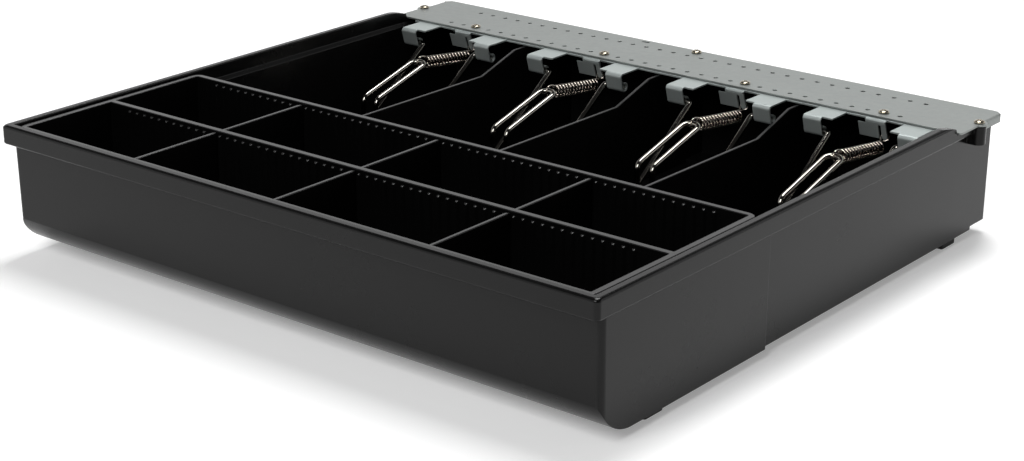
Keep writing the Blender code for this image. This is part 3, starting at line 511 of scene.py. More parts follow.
def carve(target, helper, operation):
    """Adds a live Boolean with a helper object or bmesh, and returns the object."""
    if not isinstance(helper, bpy.types.Object):
        helper = solid(f"{target.name}_helper", helper)
    modifier = target.modifiers.new("carve", "BOOLEAN")
    modifier.object = helper
    modifier.operation = operation
    return helper


def soften(obj, width, segments=2, limit=35):
    """Rounds the sharp edges of a piece by a width in millimetres and evens its shading."""
    bevel = obj.modifiers.new("soften", "BEVEL")
    bevel.width = width * MM
    bevel.segments = segments
    bevel.limit_method = "ANGLE"
    bevel.angle_limit = radians(limit)
    bevel.use_clamp_overlap = False
    bevel.miter_outer = "MITER_ARC"
    obj.modifiers.new("shading", "WEIGHTED_NORMAL")


def plain_mesh(obj):
    """Bakes an object's modifiers into its mesh and removes the helpers that they used."""
    graph = bpy.context.evaluated_depsgraph_get()
    data = bpy.data.meshes.new_from_object(obj.evaluated_get(graph), depsgraph=graph)
    helpers = []
    waiting = [obj]
    while waiting:
        for modifier in waiting.pop().modifiers:
            if modifier.type == "BOOLEAN":
                helpers.append(modifier.object)
                waiting.append(modifier.object)
    obj.modifiers.clear()
    for helper in helpers:
        remove(helper)
    obj.data = data
    return obj


def polish(obj, material, angle=None):
    """Gives a finished mesh its material, and smooth shading up to an angle if one is given."""
    obj.data.materials.clear()
    obj.data.materials.append(material)
    if angle:
        obj.data.shade_smooth()
        obj.data.set_sharp_from_angle(angle=radians(angle))


def assemble(name, objects):
    """Joins finished mesh objects into one piece."""
    mesh = bmesh.new()
    for obj in objects:
        mesh.from_mesh(obj.data)
        remove(obj)
    return placed(name, mesh_data(name, mesh))


# Geometry Nodes


def start_tree(name, *sockets):
    """A node tree for a modifier, with a material and named inputs: (name, socket kind, default)."""
    tree = bpy.data.node_groups.new(name, "GeometryNodeTree")
    for way in ("INPUT", "OUTPUT"):
        tree.interface.new_socket("Geometry", in_out=way, socket_type="NodeSocketGeometry")
    for label, kind, default in (*sockets, ("Material", "Material", None)):
        socket = tree.interface.new_socket(label, in_out="INPUT", socket_type=f"NodeSocket{kind}")
        if default is not None:
            socket.default_value = default
    return tree, add(tree, "NodeGroupInput").outputs


def end_tree(tree, geometry, material):
    """Realizes a tree's instances, gives them their material and ends it."""
    real = add(tree, "GeometryNodeRealizeInstances", {0: geometry}).outputs[0]
    painted = add(tree, "GeometryNodeSetMaterial", {0: real, "Material": material}).outputs[0]
    add(tree, "NodeGroupOutput", {0: painted})
    return tree


def end_repeat(tree, given, points):
    """Ends a tree with its piece on each of the points."""
    piece = add(tree, "GeometryNodeObjectInfo", {0: given["Piece"]}).outputs["Geometry"]
    repeats = add(tree, "GeometryNodeInstanceOnPoints", {"Points": points, "Instance": piece})
    return end_tree(tree, repeats.outputs[0], given["Material"])


def run_tree(obj, tree, values):
    """The plain mesh of a tree run on an object with its named inputs set. Its piece is removed."""
    modifier = obj.modifiers.new(tree.name, "NODES")
    modifier.node_group = tree
    for item in tree.interface.items_tree:
        if item.in_out == "INPUT" and values.get(item.name) is not None:
            modifier[item.identifier] = values[item.name]
    made = plain_mesh(obj)
    if "Piece" in values:
        remove(values["Piece"])
    return made


@cache
def repeat_tree():
    """A piece repeated along X, as teeth on a wall or holes in a row are."""
    tree, given = start_tree(
        "Repeat Along X",
        ("Piece", "Object", None),
        ("Count", "Int", 10),
        ("Start", "Float", 0.0),
        ("Pitch", "Float", 0.005),
    )
    start, pitch = [add(tree, "ShaderNodeCombineXYZ", {0: given[name]}).outputs[0] for name in ("Start", "Pitch")]
    line = add(tree, "GeometryNodeMeshLine", {"Count": given["Count"], "Start Location": start, "Offset": pitch})
    return end_repeat(tree, given, line.outputs[0])


@cache
def scatter_tree():
    """A piece repeated on the points of the object's mesh, as screws and feet are."""
    tree, given = start_tree("Repeat On Points", ("Piece", "Object", None))
    return end_repeat(tree, given, given["Geometry"])


@cache
def wire_tree():
    """A round wire drawn along the object's path."""
    tree, given = start_tree("Round Wire", ("Diameter", "Float", 0.003), ("Sides", "Int", 16))
    radius = add(tree, "ShaderNodeMath", {0: given["Diameter"], 1: 0.5}, operation="MULTIPLY").outputs[0]
    section = add(tree, "GeometryNodeCurvePrimitiveCircle", {"Resolution": given["Sides"], "Radius": radius})
    path = add(tree, "GeometryNodeMeshToCurve", {0: given["Geometry"]}).outputs[0]
    sweep = {"Curve": path, "Profile Curve": section.outputs[0], "Fill Caps": True}
    swept = add(tree, "GeometryNodeCurveToMesh", sweep)
    return end_tree(tree, swept.outputs[0], given["Material"])


def path_object(name, points):
    """An open line of points, given in millimetres."""
    data = bpy.data.meshes.new(name)
    edges = [(i, i + 1) for i in range(len(points) - 1)]
    data.from_pydata([Vector(p) * MM for p in points], edges, [])
    return placed(name, data)


def row_of(name, piece, count, start, pitch, material=None):
    """One mesh of a piece repeated along X. The first place and the pitch are in metres."""
    carrier = path_object(name, [(0, 0, 0), (0, 0, 1)])
    values = {"Piece": piece, "Count": count, "Start": start, "Pitch": pitch, "Material": material}
    return run_tree(carrier, repeat_tree(), values)


# Tray shell


def side_profile(front, back, base, top, radius):
    """Side view (y, z) of the tray's hollow or outside: scooped front, stepped back."""
    step = back - BACK_STEP_DEPTH
    return [
        *arc((front + radius, base + radius), radius, 180, 270, 28),
        (step, base),
        (step, base + BACK_STEP_RISE),
        (back, base + BACK_STEP_RISE),
        (back, top),
        (front, top),
    ]


def drafted_block(half_width, front, back, radii, base, top):
    """A block in the walls' outline, narrower at its base."""
    rings = []
    for z, draft in ((base, WALL_DRAFT), (top, 0.0)):
        outline = rounded_rectangle(half_width - draft, front + draft, back, *radii)
        rings.append([(x, y, z) for x, y in outline])
    return loft(rings)


def skirt_shape(rings, back, radius):
    """Closed shape in the skirt's outline from (height, inset) pairs, bottom to top."""
    points = []
    for z, inset in rings:
        outline = rounded_rectangle(HALF_WIDTH - inset, FRONT + inset, back, radius, LEAST_RADIUS)
        points.append([(x, y, z) for x, y in outline])
    return loft(points)


def skirt_block():
    """The block that the skirt band fills, with both its edges rounded in."""
    lip = [radians(angle) for angle in range(0, 91, 15)]
    rings = [(SKIRT_Z + SKIRT_LIP * (1 - cos(a)), SKIRT_LIP * (1 - sin(a))) for a in lip]
    rings.append((RIM_Z - SKIRT_ROUNDING, 0.0))
    top = [radians(angle) for angle in range(10, 91, 10)]
    rings += [(RIM_Z - SKIRT_ROUNDING * (1 - sin(a)), SKIRT_ROUNDING * (1 - cos(a))) for a in top]
    return skirt_shape(rings, EAR_Y, SKIRT_CORNER)


def rim_hollow():
    """The hollow above the crease inside the walls, where it widens to the rim's inner edge."""
    rings = [
        (SKIRT_Z, HALF_WIDTH - WALL_X + WALL + WALL_DRAFT),
        (CREASE_Z, RIM_WIDTH),
        (RIM_Z - LEAST_RADIUS, RIM_WIDTH),
        (RIM_Z + LEAST_RADIUS, RIM_WIDTH - 2 * LEAST_RADIUS),
    ]
    return skirt_shape(rings, EAR_Y - RIM_WIDTH, LEAST_CORNER)


def shoulder_profile():
    """Side view of what is cut away above the rim's shoulder and the plate's seat."""
    seat = PLATE_FRONT - GAP
    end = seat - SHOULDER_FLAT
    start = end - SHOULDER_LENGTH
    steps = [i / 16 for i in range(17)]
    points = [(end - SHOULDER_LENGTH * (1 - part), RIM_Z - SHOULDER_DROP * part**2) for part in steps]
    far, over = BACK + 10 * PAST, RIM_Z + 10 * PAST
    return points + [(seat, STRIP_TOP), (far, STRIP_TOP), (far, over), (start, over)]


def note_dividers():
    """Upright ribs between the note bays: low in front, raised towards the plate."""
    base = FLOOR_Z - NOTE_DIVIDER_ROOT
    back = WALL_BACK - WALL / 2
    outline = [
        (NOTE_DIVIDER_FRONT, base),
        (back, base + BACK_STEP_RISE),
        (back, NOTE_DIVIDER_BACK_TOP),
        (NOTE_DIVIDER_RAMP[1], NOTE_DIVIDER_BACK_TOP),
        (NOTE_DIVIDER_RAMP[0], NOTE_DIVIDER_LOW),
        (NOTE_DIVIDER_FRONT, NOTE_DIVIDER_TOP),
    ]
    half = NOTE_DIVIDER / 2
    return merged([prism(outline, "X", x - half, x + half) for x in NOTE_DIVIDER_XS])


def lugs():
    """Screw lugs: one at each end of the skirt and one on the back wall, all under the plate."""
    root = WALL_X - WALL / 2
    end = arc((EAR_X, EAR_Y), LUG_RADIUS, -90, 90, 16)
    end += [(root, EAR_Y + LUG_RADIUS), (root, EAR_Y - LUG_RADIUS)]
    rear = WALL_BACK - WALL / 2
    back = arc((0, BACK_SCREW_Y), LUG_RADIUS, 180, 360, 16) + [(LUG_RADIUS, rear), (-LUG_RADIUS, rear)]
    outlines = [[(-x, y) for x, y in end], end, back]
    return merged([prism(outline, "Z", LUG_BASE, STRIP_TOP) for outline in outlines])


def tray_shell():
    """The moulded tray: walls that stand out round the coin insert, a skirt band, note ribs and screw lugs."""
    over = RIM_Z + PAST
    top = RIM_Z - SKIRT_ROUNDING - LEAST_RADIUS
    front_end = WALL_FACE + FRONT_RADIUS
    rear = drafted_block(REAR_WALL_X, front_end, WALL_BACK, (LEAST_CORNER, LEAST_CORNER), BASE_Z, top)
    body = solid("tray_shell", rear)
    section = drafted_block(FRONT_WALL_X, WALL_FACE, WALL_STEP_Y, (WALL_CORNER, LEAST_CORNER), BASE_Z, top)
    carve(body, section, "UNION")
    outside = side_profile(WALL_FACE - PAST, WALL_BACK + PAST, BASE_Z, over, FRONT_RADIUS)
    carve(body, prism(outside, "X", -HALF_WIDTH, HALF_WIDTH), "INTERSECT")
    carve(body, skirt_block(), "UNION")
    radii = (CORNER_RADIUS - WALL, BACK_CORNER_RADIUS - WALL)
    space = drafted_block(WALL_X - WALL, WALL_FRONT + WALL, WALL_BACK - WALL, radii, FLOOR_Z, over)
    hollow = carve(body, space, "DIFFERENCE")
    inside = side_profile(WALL_FRONT + WALL, WALL_BACK - WALL, FLOOR_Z, over + PAST, FRONT_RADIUS - WALL)
    carve(hollow, prism(inside, "X", -HALF_WIDTH, HALF_WIDTH), "INTERSECT")
    carve(body, rim_hollow(), "DIFFERENCE")
    carve(body, note_dividers(), "UNION")
    carve(body, prism(shoulder_profile(), "X", -2 * HALF_WIDTH, 2 * HALF_WIDTH), "DIFFERENCE")
    carve(body, lugs(), "UNION")
    holes = [cylinder(place, SCREW_HOLE, SCREW_HOLE_BASE, over) for place in TRAY_SCREWS]
    carve(body, merged(holes), "DIFFERENCE")
    soften(body, SHELL_EDGE)
    return plain_mesh(body)


# Coin insert


def trough_outline(front, back, base, top, radius):
    """Side view of one round-bottomed trough with leaning walls, or of a plate that fits in it."""
    return [
        *arc((front + WALL_DRAFT + radius, base + radius), radius, 180, 270, 24),
        *arc((back - WALL_DRAFT - radius, base + radius), radius, 270, 360, 24),
        (back, top),
        (front, top),
    ]


def insert_outline():
    """Side view of the insert's outside: two rounded bottoms with a valley between them."""
    radius = TROUGH_RADIUS + COIN_WALL
    low = COIN_BASE_Z + radius
    middle = sum(MIDDLE_WALL) / 2
    valley = VALLEY_WIDTH / 2
    front_wall = MIDDLE_WALL[0] + COIN_WALL
    back_wall = MIDDLE_WALL[1] - COIN_WALL
    turn_front = degrees(acos((middle - valley - (front_wall - radius)) / radius))
    turn_back = degrees(acos((back_wall + radius - (middle + valley)) / radius))
    outline = []
    for y, start, end, steps in (
        (COIN_FRONT + WALL_DRAFT + radius, 180, 270, 24),
        (front_wall - radius, 270, 360 - turn_front, 20),
        (back_wall + radius, 180 + turn_back, 270, 20),
        (COIN_BACK - WALL_DRAFT - radius, 270, 360, 24),
    ):
        outline += arc((y, low), radius, start, end, steps)
    top = COIN_RIM_Z - COIN_RIM_THICKNESS / 2
    return [*outline, (COIN_BACK, top), (COIN_FRONT, top)]


def insert_rows():
    """Front and back faces (y) of the two rows of cups."""
    return {
        "front": (COIN_FRONT + COIN_WALL, MIDDLE_WALL[0]),
        "back": (MIDDLE_WALL[1], COIN_BACK - COIN_WALL),
    }


def insert_shell():
    """The lift-out insert: two troughs and a rim that stands out all round."""
    over = COIN_RIM_Z + PAST
    tray = solid("coin_insert", prism(insert_outline(), "X", -COIN_HALF_WIDTH, COIN_HALF_WIDTH))
    corner = COIN_CORNER_RADIUS
    plan = rounded_rectangle(COIN_HALF_WIDTH, COIN_FRONT, COIN_BACK, corner, corner)
    carve(tray, prism(plan, "Z", 0, over), "INTERSECT")
    out = COIN_OVERHANG
    corner += out
    rim = rounded_rectangle(COIN_HALF_WIDTH + out, COIN_FRONT - out, COIN_BACK + out, corner, corner)
    carve(tray, prism(rim, "Z", COIN_RIM_Z - COIN_RIM_THICKNESS, COIN_RIM_Z), "UNION")
    inner = COIN_HALF_WIDTH - COIN_WALL
    for front, back in insert_rows().values():
        outline = trough_outline(front, back, TROUGH_Z, over, TROUGH_RADIUS)
        carve(tray, prism(outline, "X", -inner, inner), "DIFFERENCE")
    soften(tray, COIN_EDGE)
    return plain_mesh(tray)


def tooth(wall, facing, top):
    """One ridge of a toothed wall: a wedge that follows the wall down and runs out in the rounded bottom."""
    lean = facing * WALL_DRAFT
    low = TROUGH_Z + TROUGH_RADIUS
    at_top = wall + lean * (1 - (top - low) / (COIN_RIM_Z - low))
    places = []
    for step, share in enumerate(TOOTH_TOP_SHARES):
        places.append((at_top, top - step * TOOTH_CHAMFER, TOOTH_HEIGHT * share, (facing, 0.0)))
    for part in TOOTH_RUN_OUT:
        turn = radians(90 * part)
        y = wall + lean + facing * TROUGH_RADIUS * (1 - cos(turn))
        z = low - TROUGH_RADIUS * sin(turn)
        rise = TOOTH_HEIGHT * (1 - part / TOOTH_RUN_OUT[-1])
        places.append((y, z, rise, (facing * cos(turn), sin(turn))))
    half = TOOTH_BASE / 2
    section = [(-half, -TOOTH_ROOT), *((-half * x, share) for x, share in TOOTH_SECTION)]
    section += [(-x, share) for x, share in reversed(section)]
    rings = []
    for y, z, rise, (ny, nz) in places:
        outs = [(x, share if share < 0 else share * rise) for x, share in section]
        rings.append([(x, y + out * ny, z + out * nz) for x, out in outs])
    return loft(rings)


def toothed_walls(material):
    """The ridges on the four long walls, which the cup dividers stand between."""
    reach = COIN_HALF_WIDTH - COIN_WALL - TOOTH_MARGIN
    first = ceil((CUP_SHIFT - reach) / TOOTH_PITCH - 0.5)
    last = floor((CUP_SHIFT + reach) / TOOTH_PITCH - 0.5)
    start = (first + 0.5) * TOOTH_PITCH - CUP_SHIFT
    made = []
    for row, (front, back) in insert_rows().items():
        for wall, facing in ((front, 1), (back, -1)):
            drop = FRONT_TOOTH_TOP_DROP if (row, facing) == ("front", 1) else TOOTH_TOP_DROP
            shape = solid("tooth", tooth(wall, facing, COIN_RIM_Z - drop))
            made.append(row_of("teeth", shape, last - first + 1, start * MM, TOOTH_PITCH * MM, material))
    return assemble("coin_insert_teeth", made)


def cup_divider(name, row, x):
    """A plate that stands across a trough between two pairs of teeth."""
    front, back = insert_rows()[row]
    play = CUP_DIVIDER_PLAY
    outline = trough_outline(front + play, back - play, TROUGH_Z + GAP, CUP_DIVIDER_TOP, TROUGH_RADIUS - play)
    half = CUP_DIVIDER / 2
    divider = solid(name, prism(outline, "X", x - half, x + half))
    soften(divider, CUP_DIVIDER_EDGE, 3)
    return plain_mesh(divider)


# Cover plate


def bent_edge(reach, drop):
    """Section of a sheet bent down at its edge: the edge is at 0, the sheet's top at 0."""
    centre = (PLATE_BEND, -PLATE_BEND)
    outer = [(reach, 0.0), *arc(centre, PLATE_BEND, 90, 180, 12), (0.0, -drop)]
    inner = [(reach, -SHEET), *arc(centre, PLATE_BEND - SHEET, 90, 180, 12), (SHEET, -drop)]
    return outer + inner[::-1]


def plate_outline():
    """Plan of the plate's flat: rounded front, ears at the sides, back corners cut off."""
    half = PLATE_HALF_WIDTH
    rise = degrees(acos(EAR_INSET / EAR_RADIUS))
    corner = (half - PLATE_FRONT_RADIUS, PLATE_FRONT + PLATE_FRONT_RADIUS)
    right = [
        *arc(corner, PLATE_FRONT_RADIUS, 270, 360, 8),
        *arc((EAR_X, EAR_Y), EAR_RADIUS, -rise, rise, 24),
        (half, FLANGE_START),
        (half - PLATE_BEND, FLANGE_START),
        (half - PLATE_BEND, FLANGE_END),
        (half, FLANGE_END),
        (half - PLATE_CHAMFER + PLATE_BEND, BACK - PLATE_BEND),
    ]
    return right + [(-x, y) for x, y in reversed(right)]


def hole_cutters(sizes):
    """Both rows of round holes as one cutter."""
    radius = sizes.hole_diameter / MM / 2
    low, high = PLATE_TOP - 3 * PAST, PLATE_TOP + 3 * PAST
    rows = []
    for y in (FRONT_ROW_Y, BACK_ROW_Y):
        hole = solid("hole", cylinder((0, y), radius, low, high, 24))
        rows.append(row_of("holes", hole, HOLE_COUNT, FIRST_HOLE_X * MM, sizes.hole_pitch))
    return assemble("hole_rows", rows)


def cover_plate(sizes):
    """Perforated sheet over the back of the tray, with bent back and side edges."""
    bottom = PLATE_TOP - SHEET
    plate = solid("perforated_cover", prism(plate_outline(), "Z", bottom, PLATE_TOP))
    lap = 3 * PLATE_BEND
    back = [(BACK - a, PLATE_TOP + b) for a, b in bent_edge(lap, BACK_FLANGE)]
    length = PLATE_HALF_WIDTH - PLATE_CHAMFER
    carve(plate, prism(back, "X", -length, length), "UNION")
    for side in (-1, 1):
        flange = [(side * (PLATE_HALF_WIDTH - a), PLATE_TOP + b) for a, b in bent_edge(lap, SIDE_FLANGE)]
        carve(plate, prism(flange, "Y", FLANGE_START, FLANGE_END), "UNION")
    carve(plate, hole_cutters(sizes), "DIFFERENCE")
    low, high = bottom - 2 * PAST, PLATE_TOP + 2 * PAST
    carve(plate, merged([cylinder(place, SCREW_HOLE, low, high) for place in PLATE_SCREWS]), "DIFFERENCE")
    x, y, slot_length, width = PLATE_SLOT
    reach = (slot_length - width) / 2
    ends = arc((x + reach, y), width / 2, -90, 90, 10) + arc((x - reach, y), width / 2, 90, 270, 10)
    carve(plate, prism(ends, "Z", low, high), "DIFFERENCE")
    soften(plate, SHEET_EDGE)
    return plain_mesh(plate)


# Clip bracket


def tab_section():
    """Side view of a hinge tab: forward, down and curled back into an eye for the clip's pin."""
    bend = (TAB_FRONT + TAB_BEND, STRIP_TOP - TAB_BEND)
    lean = 180 + TAB_LEAN
    sides = []
    for inset, eye in ((0.0, EYE_OUTER), (SHEET, EYE_INNER)):
        side = [(TAB_ROOT, STRIP_TOP - inset), *arc(bend, TAB_BEND - inset, 90, lean, 12)]
        sides.append(side + arc(eye_centre(), eye, lean, EYE_END, 36))
    return sides[0] + sides[1][::-1]


def eye_centre():
    """Where the clip's pin turns, in side view."""
    lean = radians(TAB_LEAN)
    drop = TAB_BEND - EYE_DROP
    shift = (TAB_BEND - EYE_OUTER + drop * sin(lean)) / cos(lean)
    return TAB_FRONT + TAB_BEND - shift, STRIP_TOP - EYE_DROP


def hook_tab(x):
    """A leaning tab bent down from the strip's edge, with a finger that the spring hooks over."""
    lean = tan(radians(HOOK_LEAN))
    bend = (HOOK_FRONT + HOOK_BEND, STRIP_TOP - HOOK_BEND)
    end = 180 + HOOK_LEAN
    top_y, top_z = arc(bend, HOOK_BEND, end, end, 1)[0]
    left, neck_left, right = x - HOOK_LEFT, x - HOOK_NECK_LEFT, x + HOOK_RIGHT
    finger = right - FINGER_WIDTH / 2
    slot_left = finger - spring_loop_radius() - SPRING_WIRE / 2 - GAP
    outline = [
        (left, HOOK_BASE_Z),
        (slot_left, HOOK_BASE_Z),
        (slot_left, FINGER_SLOT_TOP),
        (right - FINGER_WIDTH, FINGER_SLOT_TOP),
        *arc((finger, FINGER_TIP_Z + FINGER_WIDTH / 2), FINGER_WIDTH / 2, 180, 360, 12),
        (right, top_z - HOOK_START),
        (neck_left, top_z - HOOK_START),
        (neck_left, HOOK_SHOULDER_Z),
        (left, HOOK_SHOULDER_Z),
    ]
    thick = SHEET / cos(radians(HOOK_LEAN))
    front = [(px, top_y + (top_z - pz) * lean, pz) for px, pz in outline]
    back = [(px, py + thick, pz) for px, py, pz in front]
    sides = []
    for inset, out in ((0.0, 0.0), (SHEET, thick)):
        side = [(TAB_ROOT, STRIP_TOP - inset), *arc(bend, HOOK_BEND - inset, 90, end, 10)]
        sides.append([*side, (top_y + HOOK_LAP * lean + out, top_z - HOOK_LAP)])
    return loft([front, back]), prism(sides[0] + sides[1][::-1], "X", neck_left, right)


def clip_bracket():
    """Steel strip under the plate, with two hinge tabs and one hook tab for each clip."""
    bottom = STRIP_TOP - SHEET
    half = STRIP_HALF_LENGTH
    strip = box(-half, half, STRIP_FRONT, STRIP_FRONT + STRIP_DEPTH, bottom, STRIP_TOP)
    bracket = solid("hinge_and_hook_bracket", strip)
    section = tab_section()
    tabs, wings, faces, necks = [], [], [], []
    wing_front = TAB_FRONT + TAB_BEND + GAP
    for x in CLIP_XS:
        for side in (-1, 1):
            ends = sorted((x + side * TAB_INNER, x + side * TAB_OUTER))
            tabs.append(prism(section, "X", *ends))
            ends = sorted((x + side * WING_INNER, x + side * WING_OUTER))
            wings.append(box(*ends, wing_front, TAB_ROOT, bottom, STRIP_TOP))
        face, neck = hook_tab(x)
        faces.append(face)
        necks.append(neck)
    for shapes in (wings, tabs, necks, faces):
        carve(bracket, merged(shapes), "UNION")
    soften(bracket, SHEET_EDGE)
    return plain_mesh(bracket)


# Note clips and springs


def rounded_route(corners, steps=10):
    """Points along straight runs with their corners rounded: (point, radius) pairs."""
    points = [Vector(corners[0][0])]
    for (before, _), (corner, radius), (after, _) in zip(corners, corners[1:], corners[2:]):
        corner = Vector(corner)
        one = (Vector(before) - corner).normalized()
        two = (Vector(after) - corner).normalized()
        half = one.angle(two) / 2
        centre = corner + (one + two).normalized() * radius / sin(half)
        start = corner + one * radius / tan(half) - centre
        end = corner + two * radius / tan(half) - centre
        turn = pi - 2 * half
        for i in range(steps + 1):
            part = i / steps
            mix = sin((1 - part) * turn) * start + sin(part * turn) * end
            points.append(centre + mix / sin(turn))
    points.append(Vector(corners[-1][0]))
    return points


def clip_route(x):
    """A clip's bent wire: pin, leg, foot, riser, rail and round end, then back the same way."""
    eye_y, eye_z = eye_centre()
    foot_y, foot_z = CLIP_FOOT
    tip_y, tip_z = CLIP_TIP
    along = Vector((0, tip_y - foot_y, tip_z - CLIP_RAIL_TOP)).normalized()
    half = CLIP_RAIL_HALF_GAP
    centre = Vector((0, tip_y, tip_z)) - along * half
    corners = [
        ((CLIP_PIN_END, eye_y, eye_z), 0),
        ((CLIP_HALF_WIDTH, eye_y, eye_z), CLIP_PIN_BEND),
        ((CLIP_HALF_WIDTH, foot_y, foot_z), CLIP_BEND),
        ((half, foot_y, foot_z), CLIP_BEND),
        ((half, foot_y, CLIP_RAIL_TOP), CLIP_TOP_BEND),
        (centre + Vector((half, 0, 0)), 0),
    ]
    right = rounded_route(corners)
    steps = 20
    turn = [pi * i / steps for i in range(1, steps)]
    end = [centre + half * (sin(a) * along + cos(a) * Vector((1, 0, 0))) for a in turn]
    left = [Vector((-p.x, p.y, p.z)) for p in reversed(right)]
    return [p + Vector((x, 0, 0)) for p in right + end + left]


def spring_loop_radius():
    """Radius of the spring's loop round the hook tab's finger."""
    return hypot(FINGER_WIDTH, SHEET / cos(radians(HOOK_LEAN))) / 2 + GAP + SPRING_WIRE / 2


def bezier(start, start_pull, end_pull, end, steps=10):
    """Points inside a cubic curve, without its two ends."""
    points = []
    for i in range(1, steps):
        t = i / steps
        s = 1 - t
        points.append(s**3 * start + 3 * s * s * t * start_pull + 3 * s * t * t * end_pull + t**3 * end)
    return points


def spring_route(x, sizes):
    """Centre line of one spring: front hook round the clip's end, curls, back hook round the finger."""
    radius = (sizes.spring_diameter / MM - SPRING_WIRE) / 2
    tip = Vector((0, *CLIP_TIP))
    first = Vector(SPRING_FIRST)
    last = Vector(SPRING_LAST)
    towards = first - tip
    towards.x = 0
    front = tip + SPRING_FRONT_REACH * towards.normalized()
    back = Vector(SPRING_LOOP)
    along = (last - first).normalized()
    across = Vector((1, 0, 0))
    up = across.cross(along).normalized()
    side = along.cross(up)
    steps = 24
    curls = []
    for i in range(SPRING_CURLS * steps + 1):
        centre = first.lerp(last, i / (SPRING_CURLS * steps))
        turn = 2 * pi * i / steps
        curls.append(centre + radius * (cos(turn) * up + sin(turn) * side))
    swept = [SPRING_HOOK_SWEEP * i / steps for i in range(steps + 1)]
    turns = [radians(SPRING_HOOK_START - angle) for angle in swept]
    hook = [front + SPRING_FRONT_HOOK * Vector((0, cos(a), sin(a))) for a in turns]
    pull = SPRING_PULL
    lead_in = bezier(hook[-1], hook[-1] + Vector((0, pull, 0)), curls[0] - side * pull, curls[0])
    turns = [radians(angle) for angle in swept]
    tilt = radians(SPRING_LOOP_TILT)
    rise = Vector((0, cos(tilt), sin(tilt)))
    loop = [back + spring_loop_radius() * (cos(a) * across + sin(a) * rise) for a in turns]
    lead_out = bezier(curls[-1], curls[-1] + side * pull / 2, loop[0] - pull * rise, loop[0])
    return [p + Vector((x, 0, 0)) for p in hook + lead_in + curls + lead_out + loop]


# Screws and feet


def pan_head_screw():
    """A pan-head screw with a cross recess, standing on the origin."""
    shank, head, height = SCREW_SHANK_RADIUS, SCREW_HEAD_RADIUS, SCREW_HEAD_HEIGHT
    edge, crown = SCREW_HEAD_EDGE, SCREW_HEAD_CROWN
    inset, rise = SCREW_SEAT_EDGE
    profile = [(shank - SCREW_POINT, -SCREW_SHANK), (shank, SCREW_POINT - SCREW_SHANK), (shank, 0.0)]
    profile += [(head - inset, 0.0), (head, rise), (head, edge)]
    for part in (0.2, 0.4, 0.6, 0.8, 0.95):
        turn = radians(90 * part)
        profile.append((crown + (head - crown) * cos(turn), edge + (height - edge) * sin(turn)))
    screw = solid("pan_head_screw", lathe(profile))
    levels = ((height - SCREW_RECESS_DEPTH, SCREW_RECESS_FLOOR), (height + crown, SCREW_RECESS_MOUTH))
    for wide, long in (SCREW_RECESS, SCREW_RECESS[::-1]):
        corners = ((-wide, -long), (wide, -long), (wide, long), (-wide, long))
        slot = loft([[(px * share, py * share, z) for px, py in corners] for z, share in levels])
        carve(screw, slot, "DIFFERENCE")
    soften(screw, SCREW_SOFTNESS, 1)
    return plain_mesh(screw)


def rubber_foot():
    """A square rubber foot with rounded edges, standing on the origin."""
    half = FOOT_SIDE / 2
    edge = FOOT_ROUNDING / 2
    outline = rounded_rectangle(half, -half, half, FOOT_ROUNDING, FOOT_ROUNDING, 6)
    rings = []
    for angle in (0, 22, 45, 68, 90):
        turn = radians(angle)
        share = 1 - edge * (1 - sin(turn)) / half
        rings.append([(px * share, py * share, edge * (1 - cos(turn))) for px, py in outline])
    rings.append([(px, py, FOOT_TOP) for px, py in outline])
    return solid("rubber_foot", loft(rings))


def repeated(name, piece, places, material):
    """One mesh of a piece repeated at several places, given in millimetres."""
    return run_tree(path_object(name, places), scatter_tree(), {"Piece": piece, "Material": material})


# Stage


def studio_floor(colour, glow):
    """Seamless white paper: pale and matt, brighter where it is seen, the more so beyond the lamps' reach."""
    material, tree, shader, place = start_material("seamless_paper")
    fibre = add(tree, "ShaderNodeTexNoise", {"Vector": place, "Scale": PAPER_FIBRES, "Detail": 2.0}).outputs[0]
    tone = two_tone(tree, fibre, colour, PAPER_PALEST)
    fill(shader, {"Base Color": tone, "Roughness": 0.95, "Specular IOR Level": 0.1})
    away = add(tree, "ShaderNodeVectorMath", {0: place}, operation="LENGTH").outputs["Value"]
    near, far = PAPER_GLOW_SPAN
    span = {"Value": away, "From Min": near, "From Max": far, "To Min": glow, "To Max": 1.0}
    factors = {0: seen_directly(tree), 1: add(tree, "ShaderNodeMapRange", span).outputs[0]}
    strength = add(tree, "ShaderNodeMath", factors, operation="MULTIPLY").outputs[0]
    light = add(tree, "ShaderNodeEmission", {"Strength": strength})
    both = add(tree, "ShaderNodeAddShader", {0: shader.outputs[0], 1: light.outputs[0]})
    fill(tree.nodes["Material Output"], {"Surface": both.outputs[0]})
    return material


def seen_directly(tree):
    """1 for rays from the camera, in a reflection or through glass, else 0."""
    path = add(tree, "ShaderNodeLightPath").outputs
    seen = path["Is Camera Ray"]
    for kind in ("Is Glossy Ray", "Is Transmission Ray"):
        seen = add(tree, "ShaderNodeMath", {0: seen, 1: path[kind]}, operation="MAXIMUM").outputs[0]
    return seen


